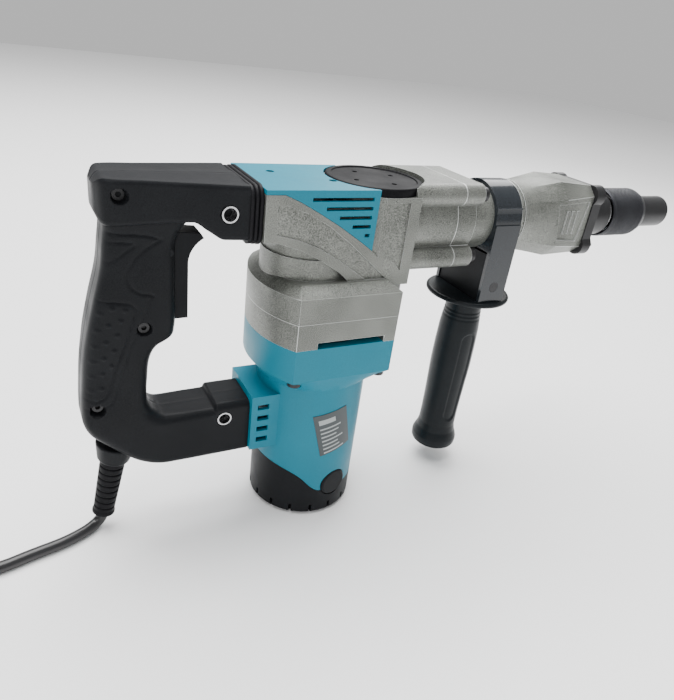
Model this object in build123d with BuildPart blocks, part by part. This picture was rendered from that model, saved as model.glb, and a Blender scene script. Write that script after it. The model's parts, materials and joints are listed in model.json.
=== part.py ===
"""Electric demolition hammer with a D handle, built as the pieces it comes apart into.

Millimetres. The origin is the centre of the motor's flat end cap, +Z runs up the motor's axis,
+X runs along the barrel towards the nose, and +Y is the tool's left side.
"""
from build123d import *
import math
import os

os.makedirs("parts", exist_ok=True)

# ---- driving dimensions ------------------------------------------------------------------
BARREL_Z = 223.0  # height of the barrel's axis
CRANK_X = 30.0  # the crank's axis, in front of the motor's
MOTOR_R = 40.0  # motor casing
FLANGE_Z = 149.0  # top of the motor casing's flange
SEAM_Z = 167.5  # joint between the gear case and the crank case
HEAD_W = 33.0  # half width of the crank case
BASE_W = 43.5  # half width of the gear case
CASE_TOP = 245.0  # top of the crank case, under its cap
NECK_END = 85.0  # joint between the crank case and the barrel
BARREL_END = 145.0  # the barrel's shoulder, where the nose casting starts
BARREL_R = 24.0
BORE_R = 14.0  # cylinder bore
LINER_R = 17.2  # outside of the cylinder liner
NOSE_END = 214.5  # front face of the nose casting
HEX_AF = 17.0  # across flats of the tool shank that the nose takes
CORD_R = 3.9
FIT = 0.1  # radial clearance of a seated piece
RUN = 0.05  # radial clearance of a running fit

# the reduction gear: straight involute teeth, module 1.25, centres 30 mm apart
MODULE = 1.25
PINION_TEETH = 9
GEAR_TEETH = 39
PRESSURE = math.radians(25)
BACKLASH = 0.25

XZ_SIDE = Plane(origin=(0, 0, 0), x_dir=(1, 0, 0), z_dir=(0, -1, 0))  # drawn as x and z


def up(z, x=0.0, y=0.0):
    """A level plane whose local axes are X and Y."""
    return Plane(origin=(x, y, z), x_dir=(1, 0, 0), z_dir=(0, 0, 1))


def along(x, y=0.0, z=BARREL_Z):
    """A plane across the barrel, facing the nose, whose local axes are Y and Z."""
    return Plane(origin=(x, y, z), x_dir=(0, 1, 0), z_dir=(1, 0, 0))


def sideways(x, z, y=0.0):
    """A plane facing the tool's left side."""
    return Plane(origin=(x, y, z), x_dir=(-1, 0, 0), z_dir=(0, 1, 0))


def rod(plane, radius, length, mode=Mode.ADD):
    """A round bar standing on the plane."""
    with BuildSketch(plane) as section:
        Circle(radius)
    extrude(section.sketch, amount=length, mode=mode)


def tube(plane, outer, inner, length):
    """A round tube standing on the plane."""
    with BuildSketch(plane) as section:
        Circle(outer)
        Circle(inner, mode=Mode.SUBTRACT)
    extrude(section.sketch, amount=length)


def hexagon(plane, across_flats, length, mode=Mode.ADD):
    """A six-sided bar standing on the plane."""
    with BuildSketch(plane) as section:
        RegularPolygon(across_flats / 2, 6, major_radius=False)
    extrude(section.sketch, amount=length, mode=mode)


def block(low, high, mode=Mode.ADD):
    """A box between two corners."""
    centre = [(a + b) / 2 for a, b in zip(low, high)]
    with Locations(tuple(centre)):
        Box(*[b - a for a, b in zip(low, high)], mode=mode)


def slab(points, half_width, mode=Mode.ADD):
    """A side outline, drawn as x and z, made as wide on both sides of the middle."""
    with BuildSketch(XZ_SIDE) as section:
        with BuildLine():
            Polyline(*points, close=True)
        make_face()
    extrude(section.sketch, amount=half_width, both=True, mode=mode)


def cap_screw(plane, shank, length, head, head_height):
    """A socket head screw: the plane is under the head, and faces out of it."""
    rod(plane, head, head_height)
    hexagon(plane.offset(head_height - 2.2), head, 2.2, Mode.SUBTRACT)
    rod(plane.offset(-length), shank, length)


def save(builder, name):
    """Label a finished piece and write it."""
    builder.part.label = name
    export_step(builder.part, f"parts/{name}.step")


COVER_SCREWS = ((-39, 12.3), (-5.5, -9.9))

# ---- outlines shared by several pieces -----------------------------------------------------
BASE_BACK = (-50.5, 0.0)
BASE_CORNERS = ((-35.0, BASE_W), (39.0, BASE_W))
FLANGE_SCREWS = ((-31, 36.5), (34, 36.5), (-31, -36.5), (34, -36.5))
LOBES = [(y * 24.5, z * 22.0) for y in (-1, 1) for z in (-1, 1)]  # barrel screws, about its axis


def base_outline(inset=0.0):
    """The gear case in plan: a curved back, straight sides and a round bulge at the crank."""
    (back_x, side), (front_x, _) = BASE_CORNERS
    with BuildLine() as edge:
        ThreePointArc((back_x, -side), BASE_BACK, (back_x, side))
        Line((back_x, side), (front_x, side))
        Line((front_x, side), (front_x, -side))
        Line((front_x, -side), (back_x, -side))
    make_face(edge.edges())
    with Locations((CRANK_X, 0)):
        Circle(30)
    if inset:
        offset(amount=-inset, kind=Kind.INTERSECTION, mode=Mode.REPLACE)


def neck_outline(barrel=28.0, lobe=7.6):
    """The neck's section: a round tube with a screw lobe at each corner."""
    Circle(barrel)
    Rectangle(2 * 24.5, 2 * (22.0 + lobe))
    with Locations(*LOBES):
        Circle(lobe)


# ---- crank case: the upper casting, with its side wings -------------------------------------
CRANK_ROOM_R = 28.0
WEB_LOW, WEB_HIGH = 190.0, 206.0  # the wall that carries the upper crank bearing
WING = (
    (-58, 247), (-46.5, 247), (-37, 243), (-24, 236.2), (-9, 227.6), (6.5, 217.7), (16.5, 210.7),
    (33, 196.3), (40, 187.1), (6, 187.1), (-5, 197.2), (-20, 206.5), (-34, 213.6), (-48, 218),
    (-58, 219),
)

with BuildPart() as crank_housing:
    with BuildSketch(up(SEAM_Z)):
        base_outline()
    extrude(amount=17.5)
    with BuildSketch(up(185)):
        base_outline()
    with BuildSketch(up(191)):
        base_outline(inset=8)
    loft(ruled=True)
    rod(up(188, x=-14), 31.0, 17)
    rod(up(205, x=-14), 29.5, 33)
    rod(up(188, x=CRANK_X), 33.3, CASE_TOP - 188)
    block((22, -HEAD_W, 186), (48.5, HEAD_W, CASE_TOP))
    slab(WING, HEAD_W)
    block((-85, -9.5, 226.5), (-50, 9.5, 243))  # lug inside the top of the handle
    with BuildSketch(along(45)):
        neck_outline()
    extrude(amount=NECK_END - 45)
    # rooms for the gears, the crank and the cylinder
    rod(up(SEAM_Z, x=CRANK_X), 27.0, WEB_LOW - SEAM_Z, Mode.SUBTRACT)
    rod(up(SEAM_Z), 9.0, 26, Mode.SUBTRACT)
    rod(up(WEB_LOW, x=CRANK_X), 12.0, 20, Mode.SUBTRACT)
    rod(up(WEB_LOW, x=CRANK_X), 17.5, 12, Mode.SUBTRACT)
    rod(up(WEB_HIGH, x=CRANK_X), CRANK_ROOM_R, 50, Mode.SUBTRACT)
    rod(along(CRANK_X), LINER_R, 70, Mode.SUBTRACT)
    with BuildSketch(along(70)):
        with Locations(*LOBES):
            Circle(2.6)
    extrude(amount=20, mode=Mode.SUBTRACT)
    with BuildSketch(up(SEAM_Z)):
        with Locations(*FLANGE_SCREWS):
            Circle(2.6)
    extrude(amount=13, mode=Mode.SUBTRACT)
    rod(sideways(-77, 234.6, y=-10), 5.0, 20, Mode.SUBTRACT)
    rod(up(CASE_TOP, x=CRANK_X), 33.5, 20, Mode.SUBTRACT)
    for x, y in COVER_SCREWS:
        rod(up(230, x, y), 1.6, 40, Mode.SUBTRACT)
    # a shallow panel in each wing and beside the crank
    for side in (-1, 1):
        with BuildSketch(Plane(origin=(0, side * HEAD_W, 0), x_dir=(1, 0, 0), z_dir=(0, -1, 0))):
            with BuildLine():
                Polyline((-51, 241), (-44.8, 241), (-30.2, 235.8), (-16, 228.1), (-0.6, 217),
                         (16.3, 203.2), (29.8, 191.5), (14.5, 191.1), (8.5, 195.7), (-6, 205.4),
                         (-21, 214), (-35, 219.6), (-50.1, 223.5), close=True)
            make_face()
            with BuildLine():
                Polyline((21.3, 241.6), (40.5, 242), (40.5, 196), (21.2, 213.5), close=True)
            make_face()
        extrude(amount=1.2, both=True, mode=Mode.SUBTRACT)
save(crank_housing, "crank_housing")

# ---- gear case: the lower casting, with the bearing seats ------------------------------------
with BuildPart() as gear_housing:
    with BuildSketch(up(FLANGE_Z)):
        base_outline()
    extrude(amount=SEAM_Z - FLANGE_Z)
    rod(up(FLANGE_Z), 35.5, 6, Mode.SUBTRACT)
    block((-20, -60, FLANGE_Z), (30, 60, 153.6), Mode.SUBTRACT)  # the warm air leaves here
    rod(up(FLANGE_Z), 9.0, 20, Mode.SUBTRACT)
    rod(up(157), 16.0, 20, Mode.SUBTRACT)
    rod(up(159, x=CRANK_X), 13.0, 20, Mode.SUBTRACT)
    with BuildSketch(up(FLANGE_Z)):
        with Locations(*FLANGE_SCREWS):
            Circle(2.6)
    extrude(amount=30, mode=Mode.SUBTRACT)
save(gear_housing, "gear_housing")

# ---- motor casing -----------------------------------------------------------------------------
CASING_IN = 37.0
BRUSH_Z = 27.0
BRUSH_TURN = -76.0  # the brushes' line, turned from +X
CAP_SCREW_TURNS = (45, 135, 225, 315)
CAP_SCREW_REACH = 33.8


def cap_edge(gap=0.0, mode=Mode.INTERSECT, keep_below=True):
    """The slanting line between the end cap and the casing, which rises towards the handle."""
    far = -10 if keep_below else 200
    with BuildSketch(XZ_SIDE) as section:
        with BuildLine():
            Line((60, 23 + gap), (-3, 23 + gap))
            Spline((-3, 23 + gap), (-17, 35 + gap), (-32, 43 + gap), (-60, 47 + gap),
                   tangents=((-1, 0.35), (-1, 0)))
            Polyline((-60, 47 + gap), (-60, far), (60, far), (60, 23 + gap))
        make_face()
    extrude(section.sketch, amount=60, both=True, mode=mode)


def brush_plane(reach, turn=0.0):
    """A plane facing outwards along a brush's line."""
    angle = math.radians(BRUSH_TURN + turn)
    out = (math.cos(angle), math.sin(angle), 0)
    return Plane(origin=(reach * out[0], reach * out[1], BRUSH_Z), x_dir=(0, 0, 1), z_dir=out)


with BuildPart() as motor_housing:
    rod(up(15), MOTOR_R, 98)
    with BuildSketch(up(112)):
        Circle(MOTOR_R)
    with BuildSketch(up(125)):
        base_outline()
    loft()
    with BuildSketch(up(125)):
        base_outline()
    extrude(amount=FLANGE_Z - 125)
    block((-54, -22, 60), (-20, 22, 104))  # socket for the handle's lower arm
    cap_edge(keep_below=False)
    rod(up(0), CASING_IN, FLANGE_Z, Mode.SUBTRACT)
    block((-51, -19, 63), (-20, 19, 101), Mode.SUBTRACT)
    rod(up(0), CASING_IN, FLANGE_Z, Mode.SUBTRACT)
    block((-72, -8.5, 81), (-51, 8.5, 94.9))  # lug inside the lower arm
    rod(sideways(-72, 87.9, y=-8.5), 7.0, 17)
    rod(sideways(-72, 87.9, y=-10), 5.0, 20, Mode.SUBTRACT)
    for turn in CAP_SCREW_TURNS:
        angle = math.radians(turn)
        reach = CAP_SCREW_REACH
        low = 23.4 if math.cos(angle) > 0 else 42.0
        rod(up(low, reach * math.cos(angle), reach * math.sin(angle)), 3.9, 7.5)
    for level in (95, 86, 77, 68):
        block((-49.5, -30, level - 2), (-41, 30, level + 2), Mode.SUBTRACT)
    for turn in (0, 180):
        rod(brush_plane(20, turn), 11.4, 30, Mode.SUBTRACT)
    with BuildSketch(up(100)):
        with Locations(*FLANGE_SCREWS):
            Circle(5.2)
    extrude(amount=25, mode=Mode.SUBTRACT)
    with BuildSketch(up(100)):
        with Locations(*FLANGE_SCREWS):
            Circle(2.6)
    extrude(amount=60, mode=Mode.SUBTRACT)
    for turn in CAP_SCREW_TURNS:
        angle = math.radians(turn)
        rod(up(10, CAP_SCREW_REACH * math.cos(angle), CAP_SCREW_REACH * math.sin(angle)), 2.0, 36,
            Mode.SUBTRACT)
save(motor_housing, "motor_housing")

# ---- motor end cap, which the tool stands on ---------------------------------------------------
with BuildPart() as motor_end_cap:
    rod(up(0), MOTOR_R, 60)
    chamfer(motor_end_cap.faces().sort_by(Axis.Z)[0].edges(), length=3)
    cap_edge(gap=-0.3)
    rod(up(4), CASING_IN, 60, Mode.SUBTRACT)
    rod(up(4), 14.0, 10)
    rod(up(6), 11.0 + FIT, 20, Mode.SUBTRACT)
    for turn in CAP_SCREW_TURNS:
        angle = math.radians(turn)
        top = 19.6 if math.cos(angle) > 0 else 34.0
        rod(up(3, CAP_SCREW_REACH * math.cos(angle), CAP_SCREW_REACH * math.sin(angle)), 3.9, top)
    for turn in (0, 180):
        rod(brush_plane(20, turn), 11.4, 30, Mode.SUBTRACT)
    with Locations(up(0)):
        with PolarLocations(MOTOR_R - 1, 16, start_angle=-90 + 11.25):
            Box(8, 2.2, 18, mode=Mode.SUBTRACT)  # air slots round the foot
    for turn in CAP_SCREW_TURNS:
        angle = math.radians(turn)
        x, y = CAP_SCREW_REACH * math.cos(angle), CAP_SCREW_REACH * math.sin(angle)
        rod(up(-1, x, y), 2.0, 45, Mode.SUBTRACT)
        rod(up(-1, x, y), 3.4, 4, Mode.SUBTRACT)
save(motor_end_cap, "motor_end_cap")

with BuildPart() as end_cap_screws:
    for turn in CAP_SCREW_TURNS:
        angle = math.radians(turn)
        length = 28 if math.cos(angle) > 0 else 42
        x, y = CAP_SCREW_REACH * math.cos(angle), CAP_SCREW_REACH * math.sin(angle)
        foot = Plane(origin=(x, y, 3), x_dir=(1, 0, 0), z_dir=(0, 0, -1))
        rod(foot, 3.2, 2.2)
        rod(foot.offset(-length), 1.95, length)
save(end_cap_screws, "end_cap_screws")

with BuildPart() as flange_screws:
    for x, y in FLANGE_SCREWS:
        under = Plane(origin=(x, y, 125), x_dir=(1, 0, 0), z_dir=(0, 0, -1))
        cap_screw(under, 2.5, 54, 4.6, 5.2)
save(flange_screws, "flange_screws")

with BuildPart() as brush_caps:
    for turn in (0, 180):
        rod(brush_plane(36.9, turn), 11.0, 3.4)
    chamfer(brush_caps.faces().filter_by(GeomType.PLANE).sort_by(Axis.Y)[0].edges(), length=1.2)
    chamfer(brush_caps.faces().filter_by(GeomType.PLANE).sort_by(Axis.Y)[-1].edges(), length=1.2)
save(brush_caps, "brush_caps")

with BuildPart() as rating_label:
    tube(up(55), MOTOR_R + 0.4, MOTOR_R, 45)
    with BuildSketch(Plane(origin=(3, -50, 76.5), x_dir=(1, 0, 0), z_dir=(0, -1, 0))) as outline:
        Rectangle(26, 36, rotation=14)
    extrude(outline.sketch, amount=40, both=True, mode=Mode.INTERSECT)
save(rating_label, "rating_label")

# ---- motor insides -----------------------------------------------------------------------------
SHAFT_R = 6.0
def gear_outline(teeth, start, addendum=1.0, dedendum=1.2):
    """Straight involute teeth: each flank is six points of the involute, thinned by backlash."""
    pitch_r = MODULE * teeth / 2
    base_r = pitch_r * math.cos(PRESSURE)
    root_r = pitch_r - dedendum * MODULE
    tip_r = pitch_r + addendum * MODULE
    spread = math.tan(PRESSURE) - PRESSURE
    half_tooth = math.pi / teeth / 2 - BACKLASH / 2 / pitch_r
    low_r = max(base_r, root_r)
    points = []
    for tooth in range(teeth):
        middle = start + 2 * math.pi * tooth / teeth
        flank = []
        for step in range(6):
            r = low_r + (tip_r - low_r) * step / 5
            turn = math.sqrt(max((r / base_r) ** 2 - 1, 0))
            angle = half_tooth + spread - (turn - math.atan(turn))
            flank.append((r, angle))
        root_angle = flank[0][1]
        if root_r < base_r:
            points.append((root_r, middle - root_angle))
        points += [(r, middle - a) for r, a in flank]
        points += [(r, middle + a) for r, a in reversed(flank)]
        if root_r < base_r:
            points.append((root_r, middle + root_angle))
    return [(r * math.cos(a), r * math.sin(a)) for r, a in points]


def gear_teeth(plane, outline, thickness):
    """The toothed disc of a gear."""
    with BuildSketch(plane) as section:
        with BuildLine():
            Polyline(*outline, close=True)
        make_face()
    extrude(section.sketch, amount=thickness)


with BuildPart() as armature_shaft:
    rod(up(6.5), 4.0, 7)
    rod(up(13.5), SHAFT_R, 155.5)
    gear_teeth(up(169), gear_outline(PINION_TEETH, 0.0), 21)
save(armature_shaft, "armature_shaft")

with BuildPart() as armature_core:
    with BuildSketch(up(52)):
        Circle(21)
        Circle(SHAFT_R, mode=Mode.SUBTRACT)
        with PolarLocations(20, 12):
            Rectangle(5, 1.8, mode=Mode.SUBTRACT)
    extrude(amount=50)
save(armature_core, "armature_core")

with BuildPart() as armature_windings:
    for low in (38, 102):
        tube(up(low), 18.5, SHAFT_R, 14)
    fillet(armature_windings.edges().filter_by(GeomType.CIRCLE).filter_by(
        lambda e: e.radius > 18), radius=3)
save(armature_windings, "armature_windings")

with BuildPart() as commutator:
    with BuildSketch(up(19)):
        Circle(12)
        Circle(SHAFT_R, mode=Mode.SUBTRACT)
        with PolarLocations(12, 24):
            Rectangle(1.6, 0.5, mode=Mode.SUBTRACT)
    extrude(amount=17)
save(commutator, "commutator")

with BuildPart() as cooling_fan:
    tube(up(120), 12, SHAFT_R, 22)
    tube(up(140), 33.5, SHAFT_R, 2)
    with Locations(up(130.5)):
        with PolarLocations(22.5, 12):
            Box(20, 1.6, 19.5, rotation=(0, 0, 18))
save(cooling_fan, "cooling_fan")

with BuildPart() as stator_core:
    with BuildSketch(up(52)):
        Circle(CASING_IN - FIT)
        Circle(21.8, mode=Mode.SUBTRACT)
        for turn in (0, 180):
            with PolarLocations(26.5, 1, start_angle=turn):
                SlotOverall(24, 9, rotation=90, mode=Mode.SUBTRACT)
    extrude(amount=50)
save(stator_core, "stator_core")

with BuildPart() as field_coils:
    for turn in (0, 180):
        with BuildSketch(up(47)):
            with PolarLocations(26.5, 1, start_angle=turn):
                SlotOverall(23.4, 8.4, rotation=90)
        extrude(amount=60)
save(field_coils, "field_coils")

with BuildPart() as motor_bearings:
    tube(up(6), 11.0, 4.0, 7)
    tube(up(157), 16.0, SHAFT_R, 10)
save(motor_bearings, "motor_bearings")

with BuildPart() as carbon_brushes:
    for turn in (0, 180):
        with BuildSketch(brush_plane(12.2, turn)):
            Rectangle(9, 6)
        extrude(amount=13)
save(carbon_brushes, "carbon_brushes")

with BuildPart() as brush_holders:
    for turn in (0, 180):
        with BuildSketch(brush_plane(14.0, turn)):
            Rectangle(12, 9)
            Rectangle(9.2, 6.2, mode=Mode.SUBTRACT)
        extrude(amount=22.8)
save(brush_holders, "brush_holders")

# ---- crank ---------------------------------------------------------------------------------------
THROW = 10.0
ROD_LOW, ROD_HIGH = 216.5, 229.5
ROD_LENGTH = 38.0
PIN_X = CRANK_X + THROW
WRIST_X = PIN_X + ROD_LENGTH
GEAR_LOW, GEAR_HIGH = 173.0, 187.0

with BuildPart() as crank_gear:
    mesh_start = math.pi + math.pi / GEAR_TEETH  # a space faces the pinion's tooth
    gear_teeth(up(GEAR_LOW, x=CRANK_X), gear_outline(GEAR_TEETH, mesh_start), GEAR_HIGH - GEAR_LOW)
    rod(up(GEAR_LOW, x=CRANK_X), 8.5, 20, Mode.SUBTRACT)
    with Locations(up(GEAR_LOW, x=CRANK_X)):
        with PolarLocations(16, 6):
            Cylinder(4, 60, mode=Mode.SUBTRACT)
save(crank_gear, "crank_gear")

CRANK_WEB_R = 17.6  # the crank's web stops short of the piston at the end of its stroke
with BuildPart() as crankshaft:
    rod(up(159.2, x=CRANK_X), 5.0, 11)
    rod(up(169.5, x=CRANK_X), 8.5, 37.1)
    rod(up(206.6, x=CRANK_X), 21.0, 2.1)  # the balance disc runs just under the piston
    rod(up(206.6, x=CRANK_X), CRANK_WEB_R, 8)
    block((10, -22, 208), (22, 22, 216), Mode.SUBTRACT)
save(crankshaft, "crankshaft")

with BuildPart() as crank_bearings:
    tube(up(159, x=CRANK_X), 13.0, 5.0, 8)
    tube(up(192, x=CRANK_X), 17.5, 8.5, 10)
save(crank_bearings, "crank_bearings")

with BuildPart() as connecting_rod:
    with BuildSketch(up(ROD_LOW)):
        with Locations((PIN_X, 0)):
            Circle(9.5)
        with Locations((WRIST_X, 0)):
            Circle(7.5)
        with Locations(((PIN_X + WRIST_X) / 2, 0)):
            Rectangle(ROD_LENGTH, 9)
        with Locations((PIN_X, 0)):
            Circle(6.0, mode=Mode.SUBTRACT)
        with Locations((WRIST_X, 0)):
            Circle(4.0 + RUN, mode=Mode.SUBTRACT)
    extrude(amount=ROD_HIGH - ROD_LOW)
save(connecting_rod, "connecting_rod")

with BuildPart() as crank_pin:
    rod(up(214.9, x=PIN_X), 6.0, 16)
save(crank_pin, "crank_pin")

# ---- hammer mechanism in the barrel ----------------------------------------------------------------
with BuildPart() as cylinder_liner:
    tube(along(61), LINER_R - FIT, BORE_R, 88)
save(cylinder_liner, "cylinder_liner")

with BuildPart() as piston:
    rod(along(68), BORE_R - RUN, 26)
    block((60, -10, BARREL_Z - 7.5), (87, 10, BARREL_Z + 7.5), Mode.SUBTRACT)
    rod(up(200, x=WRIST_X), 4.0, 50, Mode.SUBTRACT)
    with BuildSketch(along(90)):
        Circle(20)
        Circle(BORE_R - 1.3, mode=Mode.SUBTRACT)
    extrude(amount=2.2, mode=Mode.SUBTRACT)
save(piston, "piston")

with BuildPart() as wrist_pin:
    rod(up(BARREL_Z - 12.5, x=WRIST_X), 4.0, 25)
save(wrist_pin, "wrist_pin")

with BuildPart() as striker:
    rod(along(112), BORE_R - RUN, 22)
    rod(along(134), 9.0, 8)
    for x in (116, 127):
        with BuildSketch(along(x)):
            Circle(20)
            Circle(BORE_R - 1.3, mode=Mode.SUBTRACT)
        extrude(amount=2.4, mode=Mode.SUBTRACT)
save(striker, "striker")

IMPACT_START = 148.4
with BuildPart() as impact_bolt:
    rod(along(IMPACT_START), 9.0, 13.6)
    rod(along(162), 13.2, 20)
    chamfer(impact_bolt.faces().sort_by(Axis.X)[0].edges(), length=1)
    rod(along(182), 8.5, 23)
    chamfer(impact_bolt.faces().sort_by(Axis.X)[-1].edges(), length=1)
save(impact_bolt, "impact_bolt")

# ---- barrel: a casting screwed to the neck, with a turned tube that carries the side handle ----------
with BuildPart() as barrel_housing:
    with BuildSketch(along(NECK_END)):
        neck_outline()
    extrude(amount=16)
    rod(along(NECK_END), BARREL_R, BARREL_END - NECK_END)
    rod(along(BARREL_END), 22.0, 14)
    rod(along(NECK_END), LINER_R, 64.2, Mode.SUBTRACT)
    rod(along(NECK_END), 14.0, 80, Mode.SUBTRACT)
    with BuildSketch(along(NECK_END)):
        with Locations(*LOBES):
            Circle(2.6)
    extrude(amount=20, mode=Mode.SUBTRACT)
save(barrel_housing, "barrel_housing")

with BuildPart() as barrel_bolts:
    for y, z in LOBES:
        cap_screw(along(NECK_END + 16, y, BARREL_Z + z), 2.5, 30, 4.8, 5.5)
save(barrel_bolts, "barrel_bolts")

# ---- nose casting, its front plate and the tool holder -----------------------------------------------
NOSE_MID = 186.0
PLATE_BOLTS = [(y * 20.0, z * 19.5) for y in (-1, 1) for z in (-1, 1)]


def nose_section(x, half_width, half_height, corner):
    """The nose's section: a rectangle with cut corners."""
    with BuildSketch(along(x)) as section:
        Rectangle(2 * half_width, 2 * half_height)
        chamfer(section.vertices(), length=corner)
    return section


def nose_ring(x, radius):
    """The nose's round rear section."""
    with BuildSketch(along(x)) as section:
        Circle(radius)
    return section


with BuildPart() as nose_housing:
    with BuildSketch(Plane(origin=(0, 0, BARREL_Z), x_dir=(1, 0, 0), z_dir=(0, -1, 0))):
        with BuildLine():  # a double bead round its rear
            Polyline((BARREL_END, 0), (BARREL_END, 26.4), (147, 26.4), (147.4, 25), (147.8, 25),
                     (148.2, 26.4), (150.2, 26.4), (150.2, 24), (158, 24), (158, 0), close=True)
        make_face()
    revolve(axis=Axis((0, 0, BARREL_Z), (1, 0, 0)))
    round_end = nose_ring(150.2, 25.6)
    middle = nose_section(NOSE_MID, 27, 29, 11)
    front = nose_section(NOSE_END, 25, 27, 7)
    loft([round_end.sketch, middle.sketch])
    loft([middle.sketch, front.sketch])
    rod(along(BARREL_END), 22.0 + FIT, 14.2, Mode.SUBTRACT)
    rod(along(BARREL_END), 13.3, 44, Mode.SUBTRACT)
    rod(along(BARREL_END), 13.05, 80, Mode.SUBTRACT)
    for side in (-1, 1):  # a framed panel with three short ribs on each side
        plane = Plane(origin=(198, side * 27.2, BARREL_Z), x_dir=(1, 0, 0), z_dir=(0, -1, 0))
        with BuildSketch(plane):
            with BuildLine():
                Polyline((-19, 14), (13, 16), (9, -15), (-13, -13), close=True)
            make_face()
        extrude(amount=2.6, both=True, mode=Mode.SUBTRACT)
        for step in (-5, 0, 5):
            centre = 197 + step
            low, high = sorted((side * 22, side * 25.4))
            block((centre - 1.2, low, BARREL_Z - 9), (centre + 1.2, high, BARREL_Z + 9))
    with BuildSketch(along(192)):
        with Locations(*PLATE_BOLTS):
            Circle(2.6)
    extrude(amount=30, mode=Mode.SUBTRACT)
save(nose_housing, "nose_housing")

with BuildPart() as front_plate:
    with BuildSketch(along(NOSE_END)):
        Rectangle(40, 52)
        Rectangle(52, 39)
        with Locations(*PLATE_BOLTS):
            Circle(8.2)
        Circle(13.1, mode=Mode.SUBTRACT)
        with Locations(*PLATE_BOLTS):
            Circle(2.6, mode=Mode.SUBTRACT)
    extrude(amount=9)
save(front_plate, "front_plate")

with BuildPart() as front_bolts:
    for y, z in PLATE_BOLTS:
        head = along(NOSE_END + 9, y, BARREL_Z + z)
        hexagon(head, 9.0, 4.6)
        rod(head.offset(-30), 2.5, 30)
save(front_bolts, "front_bolts")

NOSE_TIP = 328.0
ROLLER_X = 284.0
with BuildPart() as tool_holder:
    rod(along(190), 13.0, NOSE_TIP - 190)
    chamfer(tool_holder.faces().sort_by(Axis.X)[-1].edges(), length=1.2)
    rod(along(NOSE_END + 9), 18.1, 25)
    rod(along(189), 9.0, 35, Mode.SUBTRACT)
    hexagon(along(222), HEX_AF, 120, Mode.SUBTRACT)
    block((ROLLER_X - 3.1, -3.6, BARREL_Z + 5), (ROLLER_X + 3.1, 3.6, BARREL_Z + 20), Mode.SUBTRACT)
save(tool_holder, "tool_holder")

SLEEVE_REAR, SLEEVE_LIP, SLEEVE_FRONT = 250.7, 272.0, 292.5
with BuildPart() as retainer_sleeve:
    with BuildSketch(Plane.XZ.offset(0)):
        with BuildLine():
            Polyline(
                (SLEEVE_REAR, BARREL_Z + 18.4), (SLEEVE_REAR, BARREL_Z + 19.3),
                (SLEEVE_REAR + 0.8, BARREL_Z + 19.8), (286, BARREL_Z + 19.8),
                (SLEEVE_FRONT, BARREL_Z + 17.2), (SLEEVE_FRONT, BARREL_Z + 16.0),
                (278, BARREL_Z + 13.1), (SLEEVE_LIP, BARREL_Z + 13.1),
                (SLEEVE_LIP, BARREL_Z + 18.4), close=True)
        make_face()
    revolve(axis=Axis((0, 0, BARREL_Z), (1, 0, 0)))
save(retainer_sleeve, "retainer_sleeve")

with BuildPart() as lock_roller:
    rod(sideways(ROLLER_X, BARREL_Z + 10.0, y=-3.5), 3.0, 7)
save(lock_roller, "lock_roller")


def spring(plane, radius, wire, length, turns):
    """A coil spring standing on the plane."""
    coil = Helix(pitch=(length - wire) / turns, height=length - wire, radius=radius)
    coil = plane * Pos(0, 0, wire / 2) * coil
    with BuildLine() as path:
        add(coil)
    with BuildSketch(Plane(origin=path.line @ 0, z_dir=path.line % 0)) as section:
        Circle(wire / 2)
    sweep(section.sketch, path=path.line)


with BuildPart() as sleeve_spring:
    spring(along(248.6), 15.6, 1.8, 23.2, 5)
save(sleeve_spring, "sleeve_spring")

# ---- side handle: a strap round the barrel, its base, and a grip on a stud ---------------------------
HANDLE_X = 132.2
BAND = (120.6, 143.9)
GRIP_TOP = 163.0
with BuildPart() as clamp_band:
    with BuildSketch(along(BAND[0])):
        Circle(26.8)
        with Locations((0, -(BARREL_Z - GRIP_TOP) / 2)):
            Rectangle(56.4, BARREL_Z - GRIP_TOP)
        with Locations((0, 8)):
            Rectangle(51, 8)
        Circle(BARREL_R + RUN, mode=Mode.SUBTRACT)
        with Locations((0, -40.5)):
            Rectangle(50, 39.2, mode=Mode.SUBTRACT)
    extrude(amount=BAND[1] - BAND[0])
    rod(sideways(HANDLE_X, 175, y=-40), 4.0, 80, Mode.SUBTRACT)
save(clamp_band, "clamp_band")

with BuildPart() as clamp_base:
    block((BAND[0] + 1, -24.7, GRIP_TOP), (BAND[1] - 1, 24.7, 200))
    rod(along(100), BARREL_R + 1.2, 60, Mode.SUBTRACT)
    rod(up(150, x=HANDLE_X), 4.1, 60, Mode.SUBTRACT)
    rod(sideways(HANDLE_X, 175, y=-40), 4.0, 80, Mode.SUBTRACT)
save(clamp_base, "clamp_base")

with BuildPart() as clamp_bolt:
    rod(sideways(HANDLE_X, 175, y=-28.2), 3.9, 56.4)
    rod(up(110, x=HANDLE_X), 4.0, 66)
save(clamp_bolt, "clamp_bolt")

GRIP_LOW = 14.0
with BuildPart() as side_grip:
    with BuildSketch(Plane(origin=(HANDLE_X, 0, 0), x_dir=(1, 0, 0), z_dir=(0, -1, 0))):
        with BuildLine():
            Polyline((0, GRIP_LOW), (15.5, GRIP_LOW), (19.0, 17), (19.5, 22), (17.6, 27.5))
            Spline((17.6, 27.5), (15.6, 36), (15.8, 60), (16.8, 95), (16.2, 130), (14.6, 148),
                   tangents=((-0.4, 1), (-0.1, 1)))
            Polyline((14.6, 148), (15.5, 155), (31.0, 158.6), (32.9, 160.2), (32.9, GRIP_TOP - 1.4),
                     (31.6, GRIP_TOP - 0.3), (0, GRIP_TOP - 0.3), (0, GRIP_LOW))
        make_face()
    revolve(axis=Axis((HANDLE_X, 0, 0), (0, 0, 1)))
    rod(up(108, x=HANDLE_X), 4.05, 80, Mode.SUBTRACT)
save(side_grip, "side_grip")

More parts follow.
